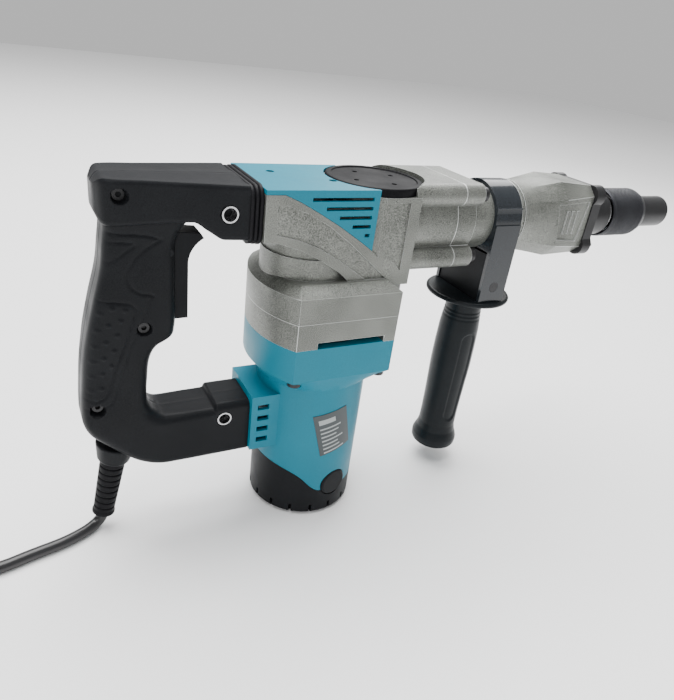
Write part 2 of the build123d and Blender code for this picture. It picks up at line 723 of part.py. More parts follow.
# ---- covers on top of the crank case ------------------------------------------------------------------
COVER_SKIN = 2.6
COVER = (
    (-58, 250), (17, 250), (16.5, 211.0), (6.5, 218.0), (-9, 227.9), (-24, 236.5), (-37, 243.3),
    (-46.5, 247.3), (-58, 247.3),
)
with BuildPart() as top_cover:
    slab(COVER, HEAD_W)
    slab([(-55, 250 - COVER_SKIN), (40, 250 - COVER_SKIN), (40, 190), (-9, 210), (-46, 240),
          (-55, 240)], HEAD_W - COVER_SKIN, Mode.SUBTRACT)
    rod(up(200, x=CRANK_X), 33.9, 80, Mode.SUBTRACT)
    for row in range(5):
        level = 244.4 - 5.75 * row
        start = -29.0 + 9.6 * row
        block((start, -60, level - 1.1), (12.8, 60, level + 1.1), Mode.SUBTRACT)
    with BuildSketch(up(240)):
        with Locations(*COVER_SCREWS):
            Circle(2.6)
    extrude(amount=20, mode=Mode.SUBTRACT)
save(top_cover, "top_cover")

with BuildPart() as cover_screws:
    for x, y in COVER_SCREWS:
        rod(up(247.7, x, y), 2.5, 1.6)
        hexagon(up(248.3, x, y), 2.4, 2, Mode.SUBTRACT)
        rod(up(238.2, x, y), 1.5, 9.5)
save(cover_screws, "cover_screws")

CAP_HOLE_TURNS = (20, 110, 200, 290)
with BuildPart() as crank_cap:
    rod(up(CASE_TOP, x=CRANK_X), 33.1, 5.5)
    fillet(crank_cap.faces().sort_by(Axis.Z)[-1].edges(), radius=1.5)
    rod(up(CASE_TOP + 4.7, x=CRANK_X), 29.0, 2, Mode.SUBTRACT)
    rod(up(CASE_TOP - 6, x=CRANK_X), CRANK_ROOM_R - FIT, 6)
    for turn in CAP_HOLE_TURNS:
        angle = math.radians(turn)
        x, y = CRANK_X + 17.5 * math.cos(angle), 17.5 * math.sin(angle)
        rod(up(CASE_TOP + 1, x, y), 1.7, 10, Mode.SUBTRACT)
    with BuildSketch(up(CASE_TOP - 4.4)):
        with Locations((CRANK_X, 0)):
            Circle(CRANK_ROOM_R + 1)
            Circle(CRANK_ROOM_R - 2.2, mode=Mode.SUBTRACT)
    extrude(amount=2.4, mode=Mode.SUBTRACT)
save(crank_cap, "crank_cap")

with BuildPart() as cap_seal:
    tube(up(CASE_TOP - 4.3, x=CRANK_X), CRANK_ROOM_R - 0.05, CRANK_ROOM_R - 2.1, 2.2)
save(cap_seal, "cap_seal")

# ---- D handle: two moulded halves round the switch ----------------------------------------------------
BLOCK_OUT = (
    (-66, 251.5), (-141, 252.5), (-147.5, 247), (-147.3, 233.5), (-143.5, 225), (-97, 229.5),
    (-87.5, 223.5), (-79, 219), (-66, 219),
)
GRIP_OUT = (
    (-147.3, 240), (-143.8, 223.3), (-146.1, 201), (-151.9, 176.4), (-157.4, 150.5),
    (-160.7, 122.8), (-161.9, 100.6), (-158.5, 88.2), (-154.6, 82.6), (-128, 61.8), (-110, 57),
    (-108, 95.5), (-115, 98), (-120.5, 104), (-122.2, 112.8), (-120, 131), (-114, 149),
    (-105.5, 155), (-104, 160), (-104, 214), (-98, 229), (-98, 240),
)
ARM_OUT = (
    (-54, 99), (-76.5, 99), (-79.3, 95.5), (-130, 95.5), (-130, 63.4), (-110, 57), (-54, 57),
)
WALL = 3.0
GRIP_W, ARM_W = 17.5, 18.0
HANDLE_SCREWS = ((-135.3, 243.0), (-123.8, 162.2), (-152.8, 110.5))
HANDLE_BOLTS = ((-77.0, 234.6, 27.5), (-72.0, 87.9, ARM_W))  # x, z and the half width there


with BuildPart() as block_form:
    slab(BLOCK_OUT, 40)
    with BuildSketch(up(200)):
        with BuildLine():
            Polyline((-66, -29), (-66, 29), (-139, 19), (-145, 15), (-147.5, 8), (-147.5, -8),
                     (-145, -15), (-139, -19), close=True)
        make_face()
    extrude(amount=80, mode=Mode.INTERSECT)

with BuildPart() as block_room:
    add(block_form.part)
    offset(amount=-WALL, kind=Kind.INTERSECTION, mode=Mode.REPLACE)


def handle_form(inset, mode):
    """The handle's whole form, or with an inset the room inside it."""
    for outline, half_width in ((GRIP_OUT, GRIP_W), (ARM_OUT, ARM_W)):
        with BuildSketch(XZ_SIDE) as side:
            with BuildLine():
                Polyline(*outline, close=True)
            make_face()
            if inset:
                offset(amount=-inset, kind=Kind.INTERSECTION, mode=Mode.REPLACE)
        extrude(side.sketch, amount=half_width - inset, both=True, mode=mode)
    add(block_room.part if inset else block_form.part, mode=mode)


RELIEF_TOP = Vector(-143.7, 0, 57.7)
RELIEF_END = Vector(-152.2, 0, 13.6)
RELIEF_LINE = (RELIEF_END - RELIEF_TOP).normalized()
COLLAR_TOP = RELIEF_TOP - RELIEF_LINE * 14


def down_cord(start):
    """A plane across the strain relief, facing down the cord."""
    return Plane(origin=start, x_dir=(0, 1, 0), z_dir=RELIEF_LINE)


def handle_half(keep, name):
    """One half of the handle; the screws' heads lie in the right half."""
    with BuildPart() as half:
        handle_form(0, Mode.ADD)
        handle_form(WALL, Mode.SUBTRACT)
        block((-150, -14, 214), (-106, 14, 238), Mode.SUBTRACT)
        block((-134, -14, 62), (-112, 14, 90), Mode.SUBTRACT)
        block((-70, -18, 222), (-60, 18, 246), Mode.SUBTRACT)
        block((-60, -12, 66), (-50, 12, 96), Mode.SUBTRACT)
        for x, z in HANDLE_SCREWS:
            rod(sideways(x, z, y=-GRIP_W), 5.2, 2 * GRIP_W)
        for x, z, wide in HANDLE_BOLTS:
            rod(sideways(x, z, y=-wide + 1), 8.5, wide - 11)
            rod(sideways(x, z, y=10), 8.5, wide - 11)
        for x, z in HANDLE_SCREWS:
            rod(sideways(x, z, y=-GRIP_W + 6), 1.6, 2 * GRIP_W - 8, Mode.SUBTRACT)
            rod(sideways(x, z, y=-GRIP_W - 10), 4.0, 16, Mode.SUBTRACT)
        for x, z, wide in HANDLE_BOLTS:
            rod(sideways(x, z, y=-wide - 3), 5.0, 2 * wide + 6, Mode.SUBTRACT)
        block((-120, -8.4, 161), (-100, 8.4, 232), Mode.SUBTRACT)
        rod(sideways(TRIGGER_X, TRIGGER_Z, y=-16.1), 2.5 + RUN, 32.2, Mode.SUBTRACT)
        rod(down_cord(COLLAR_TOP - RELIEF_LINE * 1.5), 13.6, 30, Mode.SUBTRACT)
        rod(down_cord(COLLAR_TOP - RELIEF_LINE * 12), 8.6, 30, Mode.SUBTRACT)
        split(bisect_by=Plane.XZ, keep=keep)
    save(half, name)


TRIGGER_X, TRIGGER_Z = -108.5, 209.0
handle_half(Keep.BOTTOM, "handle_left")
handle_half(Keep.TOP, "handle_right")

with BuildPart() as handle_screws:
    for x, z in HANDLE_SCREWS:
        rod(sideways(x, z, y=-GRIP_W + 2.5), 3.4, 3.4)
        hexagon(sideways(x, z, y=-GRIP_W + 2), 3.0, 2.4, Mode.SUBTRACT)
        rod(sideways(x, z, y=-GRIP_W + 5.9), 1.5, 2 * GRIP_W - 9)
save(handle_screws, "handle_screws")

with BuildPart() as handle_bushes:
    for x, z, wide in HANDLE_BOLTS:
        tube(sideways(x, z, y=-wide - 0.2), 4.95, 4.0, 2 * wide + 0.4)
save(handle_bushes, "handle_bushes")

with BuildPart() as handle_bolts:
    for x, z, wide in HANDLE_BOLTS:
        rod(sideways(x, z, y=-wide + 5), 3.95, 2 * wide - 10)
        hexagon(sideways(x, z, y=-wide + 4), 5.0, 5, Mode.SUBTRACT)
save(handle_bolts, "handle_bolts")

with BuildPart() as handle_bellows:
    for start, length, swell in ((-65.9, 2.4, 0), (-63.5, 0.6, -1.4), (-62.9, 2.0, 0.6),
                                 (-60.9, 0.6, -1.4), (-60.3, 2.2, 0.8)):
        with BuildSketch(along(start, z=233.4)) as rib:
            RectangleRounded(2 * (29.6 + swell), 2 * (17.0 + swell), 7)
            Rectangle(44, 24, mode=Mode.SUBTRACT)
        extrude(rib.sketch, amount=length)
save(handle_bellows, "handle_bellows")

# ---- trigger and switch ---------------------------------------------------------------------------------
with BuildPart() as trigger:
    with BuildSketch(XZ_SIDE) as side_view:
        with BuildLine():
            Line((-95.5, 163), (-95.5, 200))
            ThreePointArc((-95.5, 200), (-92.5, 208.5), (-86, 214.5))
            Polyline((-86, 214.5), (-88, 217.5), (-104, 219), (-112.5, 213), (-112.5, 167),
                     (-105, 163), (-95.5, 163))
        make_face()
    extrude(side_view.sketch, amount=8.0, both=True)
    rod(sideways(TRIGGER_X, TRIGGER_Z, y=-15.8), 2.5, 31.6)
save(trigger, "trigger")

with BuildPart() as switch_body:
    block((-141, -10, 171), (-124, 10, 207))
    block((-124, -3, 186), (-120.6, 3, 190))
save(switch_body, "switch_body")

with BuildPart() as trigger_spring:
    spring(Plane(origin=(-123.9, 0, 178), x_dir=(0, 1, 0), z_dir=(1, 0, 0)), 3.2, 0.8, 11.2, 5)
save(trigger_spring, "trigger_spring")

# ---- cord ------------------------------------------------------------------------------------------------
with BuildPart() as cord_gland:
    with BuildSketch(down_cord(COLLAR_TOP)):
        Circle(13.5)
    with BuildSketch(down_cord(RELIEF_TOP)):
        Circle(10.4)
    loft()
    rod(down_cord(COLLAR_TOP - RELIEF_LINE * 6), 7.0, 24, Mode.SUBTRACT)
save(cord_gland, "cord_gland")

with BuildPart() as strain_relief:
    with BuildSketch(down_cord(RELIEF_TOP)):
        Circle(8.4)
    with BuildSketch(down_cord(RELIEF_END)):
        Circle(7.0)
    loft()
    rod(down_cord(RELIEF_TOP - RELIEF_LINE * 16), 6.9, 16)
    for step in range(7):
        spot = RELIEF_TOP + RELIEF_LINE * (5 + 5.4 * step)
        with BuildSketch(down_cord(spot)) as groove:
            Circle(12)
            Circle(6.9, mode=Mode.SUBTRACT)
        extrude(groove.sketch, amount=1.0, mode=Mode.SUBTRACT)
save(strain_relief, "strain_relief")

CORD_ROUTE = [
    (-152.2, 0, 13.6), (-153.0, 0, 9.3), (-155.7, -0.7, 5.85), (-159.4, -2.5, 3.9),
    (-166.3, -7.2, 3.9), (-180, -13, 3.9), (-200, -17, 3.9), (-222, -23, 3.9),
    (-242, -18.5, 3.9),
]


def route_radii(points):
    """The largest arc each corner leaves room for: 0.45 of its shorter run over tan(turn / 2)."""
    radii = []
    for before, here, after in zip(points, points[1:], points[2:]):
        first, second = Vector(*here) - Vector(*before), Vector(*after) - Vector(*here)
        half_turn = math.radians(first.get_angle(second) / 2)
        radii.append(0.45 * min(first.length, second.length) / math.tan(half_turn))
    return radii


radii = route_radii(CORD_ROUTE)
print("cord radii", [round(r, 1) for r in radii])
with BuildPart() as power_cord:
    with BuildLine() as path:
        FilletPolyline(*CORD_ROUTE, radius=radii)
    with BuildSketch(Plane(origin=path.line @ 0, z_dir=path.line % 0)):
        Circle(CORD_R)
    sweep(path=path.line)
print("cord volume", power_cord.part.volume, "section x length",
      math.pi * CORD_R**2 * sum(edge.length for edge in path.edges()))
save(power_cord, "power_cord")

COIL_X, COIL_Y = -281.0, -53.0
COIL_MID, COIL_HALF, COIL_TALL = 43.0, 12.5, 16.0
with BuildPart() as cord_coil:
    tube(up(0, COIL_X, COIL_Y), COIL_MID + COIL_HALF, COIL_MID - COIL_HALF, COIL_TALL)
    fillet(cord_coil.edges(), radius=3)
save(cord_coil, "cord_coil")

PLUG_TURN = 150.0  # the plug lies along the coil's last turn, turned from +X
PLUG_Z = 12.0
PLUG_LONG = 30.0
PLUG_DIR = Vector(math.cos(math.radians(PLUG_TURN)), math.sin(math.radians(PLUG_TURN)), 0)
PLUG_ENTRY = Vector(-289.8, 10.7, PLUG_Z)


def across_plug(reach, aside=0.0):
    """A plane across the plug, facing its pins, that far from where the cord enters."""
    width = Vector(-PLUG_DIR.Y, PLUG_DIR.X, 0)
    spot = PLUG_ENTRY + PLUG_DIR * reach + width * aside
    return Plane(origin=spot, x_dir=width, z_dir=PLUG_DIR)


with BuildPart() as plug_body:
    with BuildSketch(across_plug(0)):
        RectangleRounded(16, 14, 5)
    with BuildSketch(across_plug(PLUG_LONG)):
        RectangleRounded(35, 23.6, 9)
    loft()
save(plug_body, "plug_body")

with BuildPart() as plug_pins:
    for aside in (-9.5, 9.5):
        rod(across_plug(PLUG_LONG, aside), 2.4, 19)
save(plug_pins, "plug_pins")
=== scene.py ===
"""A demolition hammer standing on its motor, with a D handle, a side handle and a hexagonal nose."""

import json
import math

import bmesh
import bpy
import numpy as np
from mathutils import Matrix, Vector


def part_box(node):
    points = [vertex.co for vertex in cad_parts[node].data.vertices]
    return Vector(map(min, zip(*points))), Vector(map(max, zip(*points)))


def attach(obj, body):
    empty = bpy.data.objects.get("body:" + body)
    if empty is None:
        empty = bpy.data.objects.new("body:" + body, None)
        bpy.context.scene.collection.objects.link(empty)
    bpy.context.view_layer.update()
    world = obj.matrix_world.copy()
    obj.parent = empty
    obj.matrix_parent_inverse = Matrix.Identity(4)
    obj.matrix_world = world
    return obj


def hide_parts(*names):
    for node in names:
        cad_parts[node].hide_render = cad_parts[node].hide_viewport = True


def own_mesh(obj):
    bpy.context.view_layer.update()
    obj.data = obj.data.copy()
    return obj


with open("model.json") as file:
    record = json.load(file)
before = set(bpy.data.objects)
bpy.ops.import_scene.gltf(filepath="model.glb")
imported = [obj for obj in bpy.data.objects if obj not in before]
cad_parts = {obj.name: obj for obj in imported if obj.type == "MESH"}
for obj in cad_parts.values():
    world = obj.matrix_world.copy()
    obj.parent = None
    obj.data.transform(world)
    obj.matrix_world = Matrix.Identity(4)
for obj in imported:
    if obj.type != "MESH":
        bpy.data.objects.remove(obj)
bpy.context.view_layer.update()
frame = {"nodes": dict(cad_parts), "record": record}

# ---- Studio ---------------------------------------------------------------------------------------
# A pale floor, a white room light and three soft lamps. The camera looks down past the
# handle towards the nose, turned a little on its own axis.
CAMERA_PLACE = Vector((-0.18826, -0.35680, 0.33754))
CAMERA_TURN, CAMERA_FALL, CAMERA_ROLL = math.radians(30.27), math.radians(27.72), math.radians(-7.85)
CAMERA_LENS = 31.85
SENSOR_WIDTH = 36.0


def studio_camera():
    """The view's axes: forward from its turn and fall, then right and down rolled about it."""
    forward = Vector((
        math.sin(CAMERA_TURN) * math.cos(CAMERA_FALL),
        math.cos(CAMERA_TURN) * math.cos(CAMERA_FALL),
        -math.sin(CAMERA_FALL),
    ))
    level = Vector((math.cos(CAMERA_TURN), -math.sin(CAMERA_TURN), 0))
    plumb = forward.cross(level)
    right = math.cos(CAMERA_ROLL) * level + math.sin(CAMERA_ROLL) * plumb
    down = math.cos(CAMERA_ROLL) * plumb - math.sin(CAMERA_ROLL) * level
    data = bpy.data.cameras.new("studio_camera")
    data.sensor_width, data.lens = SENSOR_WIDTH, CAMERA_LENS
    data.clip_start, data.clip_end = 0.02, 20
    camera = bpy.data.objects.new("studio_camera", data)
    turn = Matrix((right, -down, -forward)).transposed()
    camera.matrix_world = Matrix.Translation(CAMERA_PLACE) @ turn.to_4x4()
    bpy.context.collection.objects.link(camera)
    return camera


bpy.context.scene.camera = studio_camera()


def soft_lamp(name, place, target, size, watts):
    """A square area lamp that faces a point."""
    data = bpy.data.lights.new(name, "AREA")
    data.shape, data.size, data.energy = "SQUARE", size, watts
    lamp = bpy.data.objects.new(name, data)
    aim = (Vector(target) - Vector(place)).to_track_quat("-Z", "Y")
    lamp.matrix_world = Matrix.Translation(place) @ aim.to_matrix().to_4x4()
    bpy.context.collection.objects.link(lamp)


LAMP_TARGET = (0.05, 0.0, 0.12)
LAMPS = (  # name, place, side, watts
    ("top_lamp", (-0.1, 0.5, 2.3), 2.2, 150),
    ("front_lamp", (-0.75, -0.8, 0.9), 0.6, 4),
    ("back_lamp", (0.9, 0.9, 1.1), 0.9, 12),
)
for lamp_name, lamp_place, lamp_side, lamp_watts in LAMPS:
    soft_lamp(lamp_name, lamp_place, LAMP_TARGET, lamp_side, lamp_watts)

ROOM_LIGHT = 0.6
room = bpy.data.worlds.new("studio_room")
bpy.context.scene.world = room
room.use_nodes = True
room.node_tree.nodes["Background"].inputs["Color"].default_value = (1.0, 1.0, 1.0, 1.0)
room.node_tree.nodes["Background"].inputs["Strength"].default_value = ROOM_LIGHT


def new_material(name, **sockets):
    """A material with the plain sockets of its Principled shader set, as (nodes, links, shader)."""
    material = bpy.data.materials.new(name)
    material.use_nodes = True
    shader = material.node_tree.nodes["Principled BSDF"]
    for socket, value in sockets.items():
        shader.inputs[socket.replace("_", " ")].default_value = value
    return material, material.node_tree.nodes, material.node_tree.links, shader


def grid_mesh(name, points, wrap_u=False, wrap_v=False, cap_ends=False):
    """A mesh whose faces join each point of an (m, n, 3) grid to the next along both ways."""
    m, n = points.shape[:2]
    index = np.arange(m * n).reshape(m, n)
    if wrap_u:
        index = np.vstack([index, index[:1]])
    if wrap_v:
        index = np.hstack([index, index[:, :1]])
    quads = np.stack([index[:-1, :-1], index[1:, :-1], index[1:, 1:], index[:-1, 1:]], axis=-1)
    faces = quads.reshape(-1, 4).tolist()
    if cap_ends:
        faces += [index[0, :n].tolist(), index[-1, :n][::-1].tolist()]
    mesh = bpy.data.meshes.new(name)
    mesh.from_pydata(points.reshape(-1, 3).tolist(), [], faces)
    mesh.validate()
    return mesh


def new_piece(name, mesh, material, smooth=True):
    """The mesh as an object at the origin, with its material."""
    mesh.materials.append(material)
    mesh.polygons.foreach_set("use_smooth", np.full(len(mesh.polygons), smooth))
    piece = bpy.data.objects.new(name, mesh)
    bpy.context.collection.objects.link(piece)
    return piece


FLOOR_REACH, FLOOR_POINTS = 4.0, 9
floor_side = np.linspace(-FLOOR_REACH, FLOOR_REACH, FLOOR_POINTS)
floor_x, floor_y = np.meshgrid(floor_side, floor_side, indexing="ij")
floor_grid = np.stack([floor_x, floor_y, np.zeros_like(floor_x)], axis=-1)
floor_paint, _, _, _ = new_material("floor_paint", Base_Color=(0.9, 0.9, 0.9, 1.0), Roughness=0.6)
studio_floor = new_piece("studio_floor", grid_mesh("studio_floor", floor_grid), floor_paint)

# ---- Mains lead -----------------------------------------------------------------------------------
# A round rubber-sheathed lead, 7.8 mm thick, that leaves the strain relief, bends to the
# floor and runs off to a coil of six turns in two layers, with its plug beside it.
CORD_RADIUS = 0.0039
RUN_OUT = [
    (-0.1522, 0.0, 0.0136), (-0.1530, 0.0, 0.0093), (-0.1557, -0.0007, 0.00585),
    (-0.1594, -0.0025, 0.0039), (-0.1663, -0.0072, 0.0039), (-0.180, -0.013, 0.0039),
    (-0.200, -0.017, 0.0039), (-0.222, -0.023, 0.0039), (-0.242, -0.0185, 0.0039),
]
COIL_MIDDLE = (-0.281, -0.053)
COIL_OUTER, COIL_INNER = 0.0508, 0.0352
UPPER_LAYER = 0.0117
PLUG_ENTRY = np.array((-0.2898, 0.0107, 0.012))
PLUG_TURN = math.radians(150)
POINTS_A_TURN = 14
COIL_START = math.radians(60)
LOWER_TURNS, RISING_TURNS, UPPER_TURNS = 2.0, 1.0, 3.0


def coil_points():
    """Turns laid anticlockwise: radius and height follow the angle, inwards below, outwards above."""
    knots = np.cumsum([0, LOWER_TURNS, RISING_TURNS, UPPER_TURNS])
    turns = np.arange(0, knots[-1], 1 / POINTS_A_TURN)
    radius = np.interp(turns, knots, [COIL_OUTER, COIL_INNER, COIL_INNER, COIL_OUTER])
    height = np.interp(turns, knots, [CORD_RADIUS, CORD_RADIUS, UPPER_LAYER, UPPER_LAYER])
    angle = COIL_START + 2 * np.pi * turns
    return np.stack([
        COIL_MIDDLE[0] + radius * np.cos(angle), COIL_MIDDLE[1] + radius * np.sin(angle), height,
    ], axis=1)


plug_way = np.array((math.cos(PLUG_TURN), math.sin(PLUG_TURN), 0.0))
lead_in = PLUG_ENTRY - plug_way * np.array([[0.022], [0.011], [0.0]])
route = np.vstack([RUN_OUT, coil_points(), lead_in])
lead_curve = bpy.data.curves.new("mains_lead", "CURVE")
lead_curve.dimensions = "3D"
spline = lead_curve.splines.new("NURBS")
spline.points.add(len(route) - 1)
spline.points.foreach_set("co", np.hstack([route, np.ones((len(route), 1))]).ravel())
spline.order_u = 3
spline.use_endpoint_u = True
spline.resolution_u = 6
lead_curve.bevel_depth = CORD_RADIUS
lead_curve.bevel_resolution = 5
lead_curve.use_fill_caps = True
mains_lead = bpy.data.objects.new("mains_lead", lead_curve)
bpy.context.collection.objects.link(mains_lead)

lead_sheath, nodes, links, shader = new_material(
    "lead_sheath", Base_Color=(0.012, 0.012, 0.013, 1.0), Roughness=0.32)
place = nodes.new("ShaderNodeTexCoord")
scuff = nodes.new("ShaderNodeTexNoise")
scuff.inputs["Scale"].default_value = 140
scuff.inputs["Detail"].default_value = 4
links.new(place.outputs["Object"], scuff.inputs["Vector"])
spread = nodes.new("ShaderNodeMapRange")
spread.inputs["To Min"].default_value, spread.inputs["To Max"].default_value = 0.24, 0.44
links.new(scuff.outputs["Fac"], spread.inputs["Value"])
links.new(spread.outputs["Result"], shader.inputs["Roughness"])
bump = nodes.new("ShaderNodeBump")
bump.inputs["Strength"].default_value, bump.inputs["Distance"].default_value = 0.08, 0.0003
links.new(scuff.outputs["Fac"], bump.inputs["Height"])
links.new(bump.outputs["Normal"], shader.inputs["Normal"])
lead_curve.materials.append(lead_sheath)
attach(mains_lead, "tool_body")
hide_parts("power_cord", "cord_coil")

# ---- Alloy castings -------------------------------------------------------------------------------
# The crank case, gear case, barrel and nose are pressure-cast aluminium. They are sprayed with
# silver paint full of metal flake. Their rounded edges get a much lighter paint, a painted highlight.
MERGE_REACH = 2e-6
FLAT_WITHIN = math.radians(0.5)
CAST_ROUND = 0.0011
FINE_SHARE = 0.75  # of a finish's tone; the rest varies slowly


def number_group(name, inputs, outputs):
    """A node group with named number inputs and outputs, as (group, input node, output node)."""
    group = bpy.data.node_groups.new(name, "ShaderNodeTree")
    for label, value in inputs.items():
        socket = group.interface.new_socket(label, in_out="INPUT", socket_type="NodeSocketFloat")
        socket.default_value = value
    for label, kind in outputs.items():
        group.interface.new_socket(label, in_out="OUTPUT", socket_type=kind)
    return group, group.nodes.new("NodeGroupInput"), group.nodes.new("NodeGroupOutput")


def surface_grain_group():
    """Grain: a noise gives the height, and a broader noise between two values gives the roughness."""
    group, given, made = number_group(
        "surface_grain", {"Scale": 900.0, "Low": 0.4, "High": 0.6},
        {"Roughness": "NodeSocketFloat", "Height": "NodeSocketFloat"})
    place = group.nodes.new("ShaderNodeTexCoord")
    fine = group.nodes.new("ShaderNodeTexNoise")
    fine.inputs["Detail"].default_value = 3
    broad = group.nodes.new("ShaderNodeTexNoise")
    broad.inputs["Scale"].default_value = 45
    broad.inputs["Detail"].default_value = 5
    spread = group.nodes.new("ShaderNodeMapRange")
    spread.inputs["From Min"].default_value, spread.inputs["From Max"].default_value = 0.3, 0.7
    group.links.new(place.outputs["Object"], fine.inputs["Vector"])
    group.links.new(place.outputs["Object"], broad.inputs["Vector"])
    group.links.new(given.outputs["Scale"], fine.inputs["Scale"])
    group.links.new(broad.outputs["Fac"], spread.inputs["Value"])
    group.links.new(given.outputs["Low"], spread.inputs["To Min"])
    group.links.new(given.outputs["High"], spread.inputs["To Max"])
    group.links.new(spread.outputs["Result"], made.inputs["Roughness"])
    group.links.new(fine.outputs["Fac"], made.inputs["Height"])
    return group


def tone_group():
    """Tone: a colour between a dark and a light one of its kind, by a fine and a broad noise."""
    group, given, made = number_group(
        "surface_tone", {"Scale": 900.0, "Contrast": 1.0}, {"Color": "NodeSocketColor"})
    dark = group.interface.new_socket("Dark", in_out="INPUT", socket_type="NodeSocketColor")
    light = group.interface.new_socket("Light", in_out="INPUT", socket_type="NodeSocketColor")
    place = group.nodes.new("ShaderNodeTexCoord")
    fine = group.nodes.new("ShaderNodeTexNoise")
    fine.inputs["Detail"].default_value = 2
    broad = group.nodes.new("ShaderNodeTexNoise")
    broad.inputs["Scale"].default_value = 28
    broad.inputs["Detail"].default_value = 4
    both = group.nodes.new("ShaderNodeMath")
    both.operation = "MULTIPLY_ADD"
    both.inputs[1].default_value = FINE_SHARE
    slow = group.nodes.new("ShaderNodeMath")
    slow.operation = "MULTIPLY"
    slow.inputs[1].default_value = 1 - FINE_SHARE
    spread = group.nodes.new("ShaderNodeMapRange")
    spread.inputs["From Min"].default_value, spread.inputs["From Max"].default_value = 0.36, 0.64
    strength = group.nodes.new("ShaderNodeMath")
    strength.operation = "MULTIPLY"
    mix = group.nodes.new("ShaderNodeMix")
    mix.data_type = "RGBA"
    group.links.new(place.outputs["Object"], fine.inputs["Vector"])
    group.links.new(place.outputs["Object"], broad.inputs["Vector"])
    group.links.new(given.outputs["Scale"], fine.inputs["Scale"])
    group.links.new(broad.outputs["Fac"], slow.inputs[0])
    group.links.new(fine.outputs["Fac"], both.inputs[0])
    group.links.new(slow.outputs[0], both.inputs[2])
    group.links.new(both.outputs[0], spread.inputs["Value"])
    group.links.new(spread.outputs["Result"], strength.inputs[0])
    group.links.new(given.outputs["Contrast"], strength.inputs[1])
    group.links.new(strength.outputs[0], mix.inputs["Factor"])
    group.links.new(given.outputs[dark.name], mix.inputs["A"])
    group.links.new(given.outputs[light.name], mix.inputs["B"])
    group.links.new(mix.outputs["Result"], made.inputs["Color"])
    return group


SURFACE_GRAIN, SURFACE_TONE = surface_grain_group(), tone_group()


def finish(name, dark, light, roughness, grain, depth, contrast=1.0, **sockets):
    """A material whose colour runs between two tones, with grain of a size and depth in metres."""
    material, nodes, links, shader = new_material(name, **sockets)
    tone = nodes.new("ShaderNodeGroup")
    tone.node_tree = SURFACE_TONE
    tone.inputs["Scale"].default_value = 1 / grain
    tone.inputs["Contrast"].default_value = contrast
    tone.inputs["Dark"].default_value, tone.inputs["Light"].default_value = (*dark, 1), (*light, 1)
    links.new(tone.outputs["Color"], shader.inputs["Base Color"])
    texture = nodes.new("ShaderNodeGroup")
    texture.node_tree = SURFACE_GRAIN
    texture.inputs["Scale"].default_value = 1 / grain
    texture.inputs["Low"].default_value, texture.inputs["High"].default_value = roughness
    links.new(texture.outputs["Roughness"], shader.inputs["Roughness"])
    bump = nodes.new("ShaderNodeBump")
    bump.inputs["Strength"].default_value, bump.inputs["Distance"].default_value = 1.0, depth
    links.new(texture.outputs["Height"], bump.inputs["Height"])
    links.new(bump.outputs["Normal"], shader.inputs["Normal"])
    return material


def rounded_copy(node, materials, width, angle=40):
    """The node's mesh, merged and with its flats made whole faces, then bevelled along its edges."""
    mesh = frame["nodes"][node].data.copy()
    mesh.name = node + "_round"
    if "custom_normal" in mesh.attributes:
        mesh.attributes.remove(mesh.attributes["custom_normal"])
    work = bmesh.new()
    work.from_mesh(mesh)
    bmesh.ops.remove_doubles(work, verts=work.verts, dist=MERGE_REACH)
    bmesh.ops.dissolve_limit(work, angle_limit=FLAT_WITHIN, verts=work.verts, edges=work.edges)
    for edge in work.edges:
        edge.smooth = True
    work.to_mesh(mesh)
    work.free()
    mesh.materials.clear()
    piece = new_piece(node + "_piece", mesh, materials[0])
    for extra in materials[1:]:
        mesh.materials.append(extra)
    bevel = piece.modifiers.new("edge_round", "BEVEL")
    bevel.width, bevel.segments = width, 2
    bevel.limit_method, bevel.angle_limit = "ANGLE", math.radians(angle)
    # the last material goes on the bevelled faces; on the castings it is a painted edge highlight
    bevel.material = len(materials) - 1
    even = piece.modifiers.new("even_normals", "WEIGHTED_NORMAL")
    even.keep_sharp = False
    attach(piece, body_holding(node))
    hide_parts(node)
    return piece


def body_holding(node):
    """The name of the body that a node belongs to."""
    bodies = frame["record"]["behaviour"]["bodies"]
    return next(body for body, nodes in bodies.items() if node in nodes)


flake_paint = finish("flake_paint", (0.04, 0.043, 0.037), (0.27, 0.28, 0.255), (0.34, 0.5), 0.0005,
                     0.00006, Metallic=0.45)
# a much lighter paint for the bevels: a painted highlight along the castings' edges
flake_edge = finish("flake_edge", (0.6, 0.62, 0.61), (0.9, 0.92, 0.91), (0.26, 0.4), 0.0005,
                    0.00004, Metallic=0.4)
for casting in ("crank_housing", "gear_housing", "barrel_housing", "nose_housing"):
    rounded_copy(casting, (flake_paint, flake_edge), CAST_ROUND)

# ---- Blue mouldings -------------------------------------------------------------------------------
# The motor casing and the top cover are moulded in blue glass-filled plastic. The casing's
# flange is screwed up under the gear case, and the cover drops over the crank case.
MOULD_ROUND = 0.0009
casing_plastic = finish("casing_plastic", (0.0, 0.15, 0.22), (0.0, 0.19, 0.275), (0.34, 0.48), 0.0004,
                        0.00003, Specular_IOR_Level=0.25)
for moulding in ("motor_housing", "top_cover"):
    rounded_copy(moulding, (casing_plastic,), MOULD_ROUND)

# ---- Black mouldings ------------------------------------------------------------------------------
# The motor's end cap, the brush caps, the crank case's lid, the clamp's saddle, the trigger and
# the cord's collar are black plastic with a fine spark-eroded texture. The lid's is smoother.
black_plastic = finish("black_plastic", (0.005, 0.0055, 0.0065), (0.012, 0.013, 0.015),
                       (0.34, 0.5), 0.0005, 0.00005, Specular_IOR_Level=0.1)
lid_plastic = finish("lid_plastic", (0.004, 0.004, 0.005), (0.009, 0.009, 0.01), (0.4, 0.54), 0.0009,
                     0.00002, Specular_IOR_Level=0.05)
for moulding, width in (("motor_end_cap", 0.0009), ("brush_caps", 0.0004), ("clamp_base", 0.0012),
                        ("cord_gland", 0.0014), ("trigger", 0.0016)):
    rounded_copy(moulding, (black_plastic,), width)
rounded_copy("crank_cap", (lid_plastic,), 0.0004)

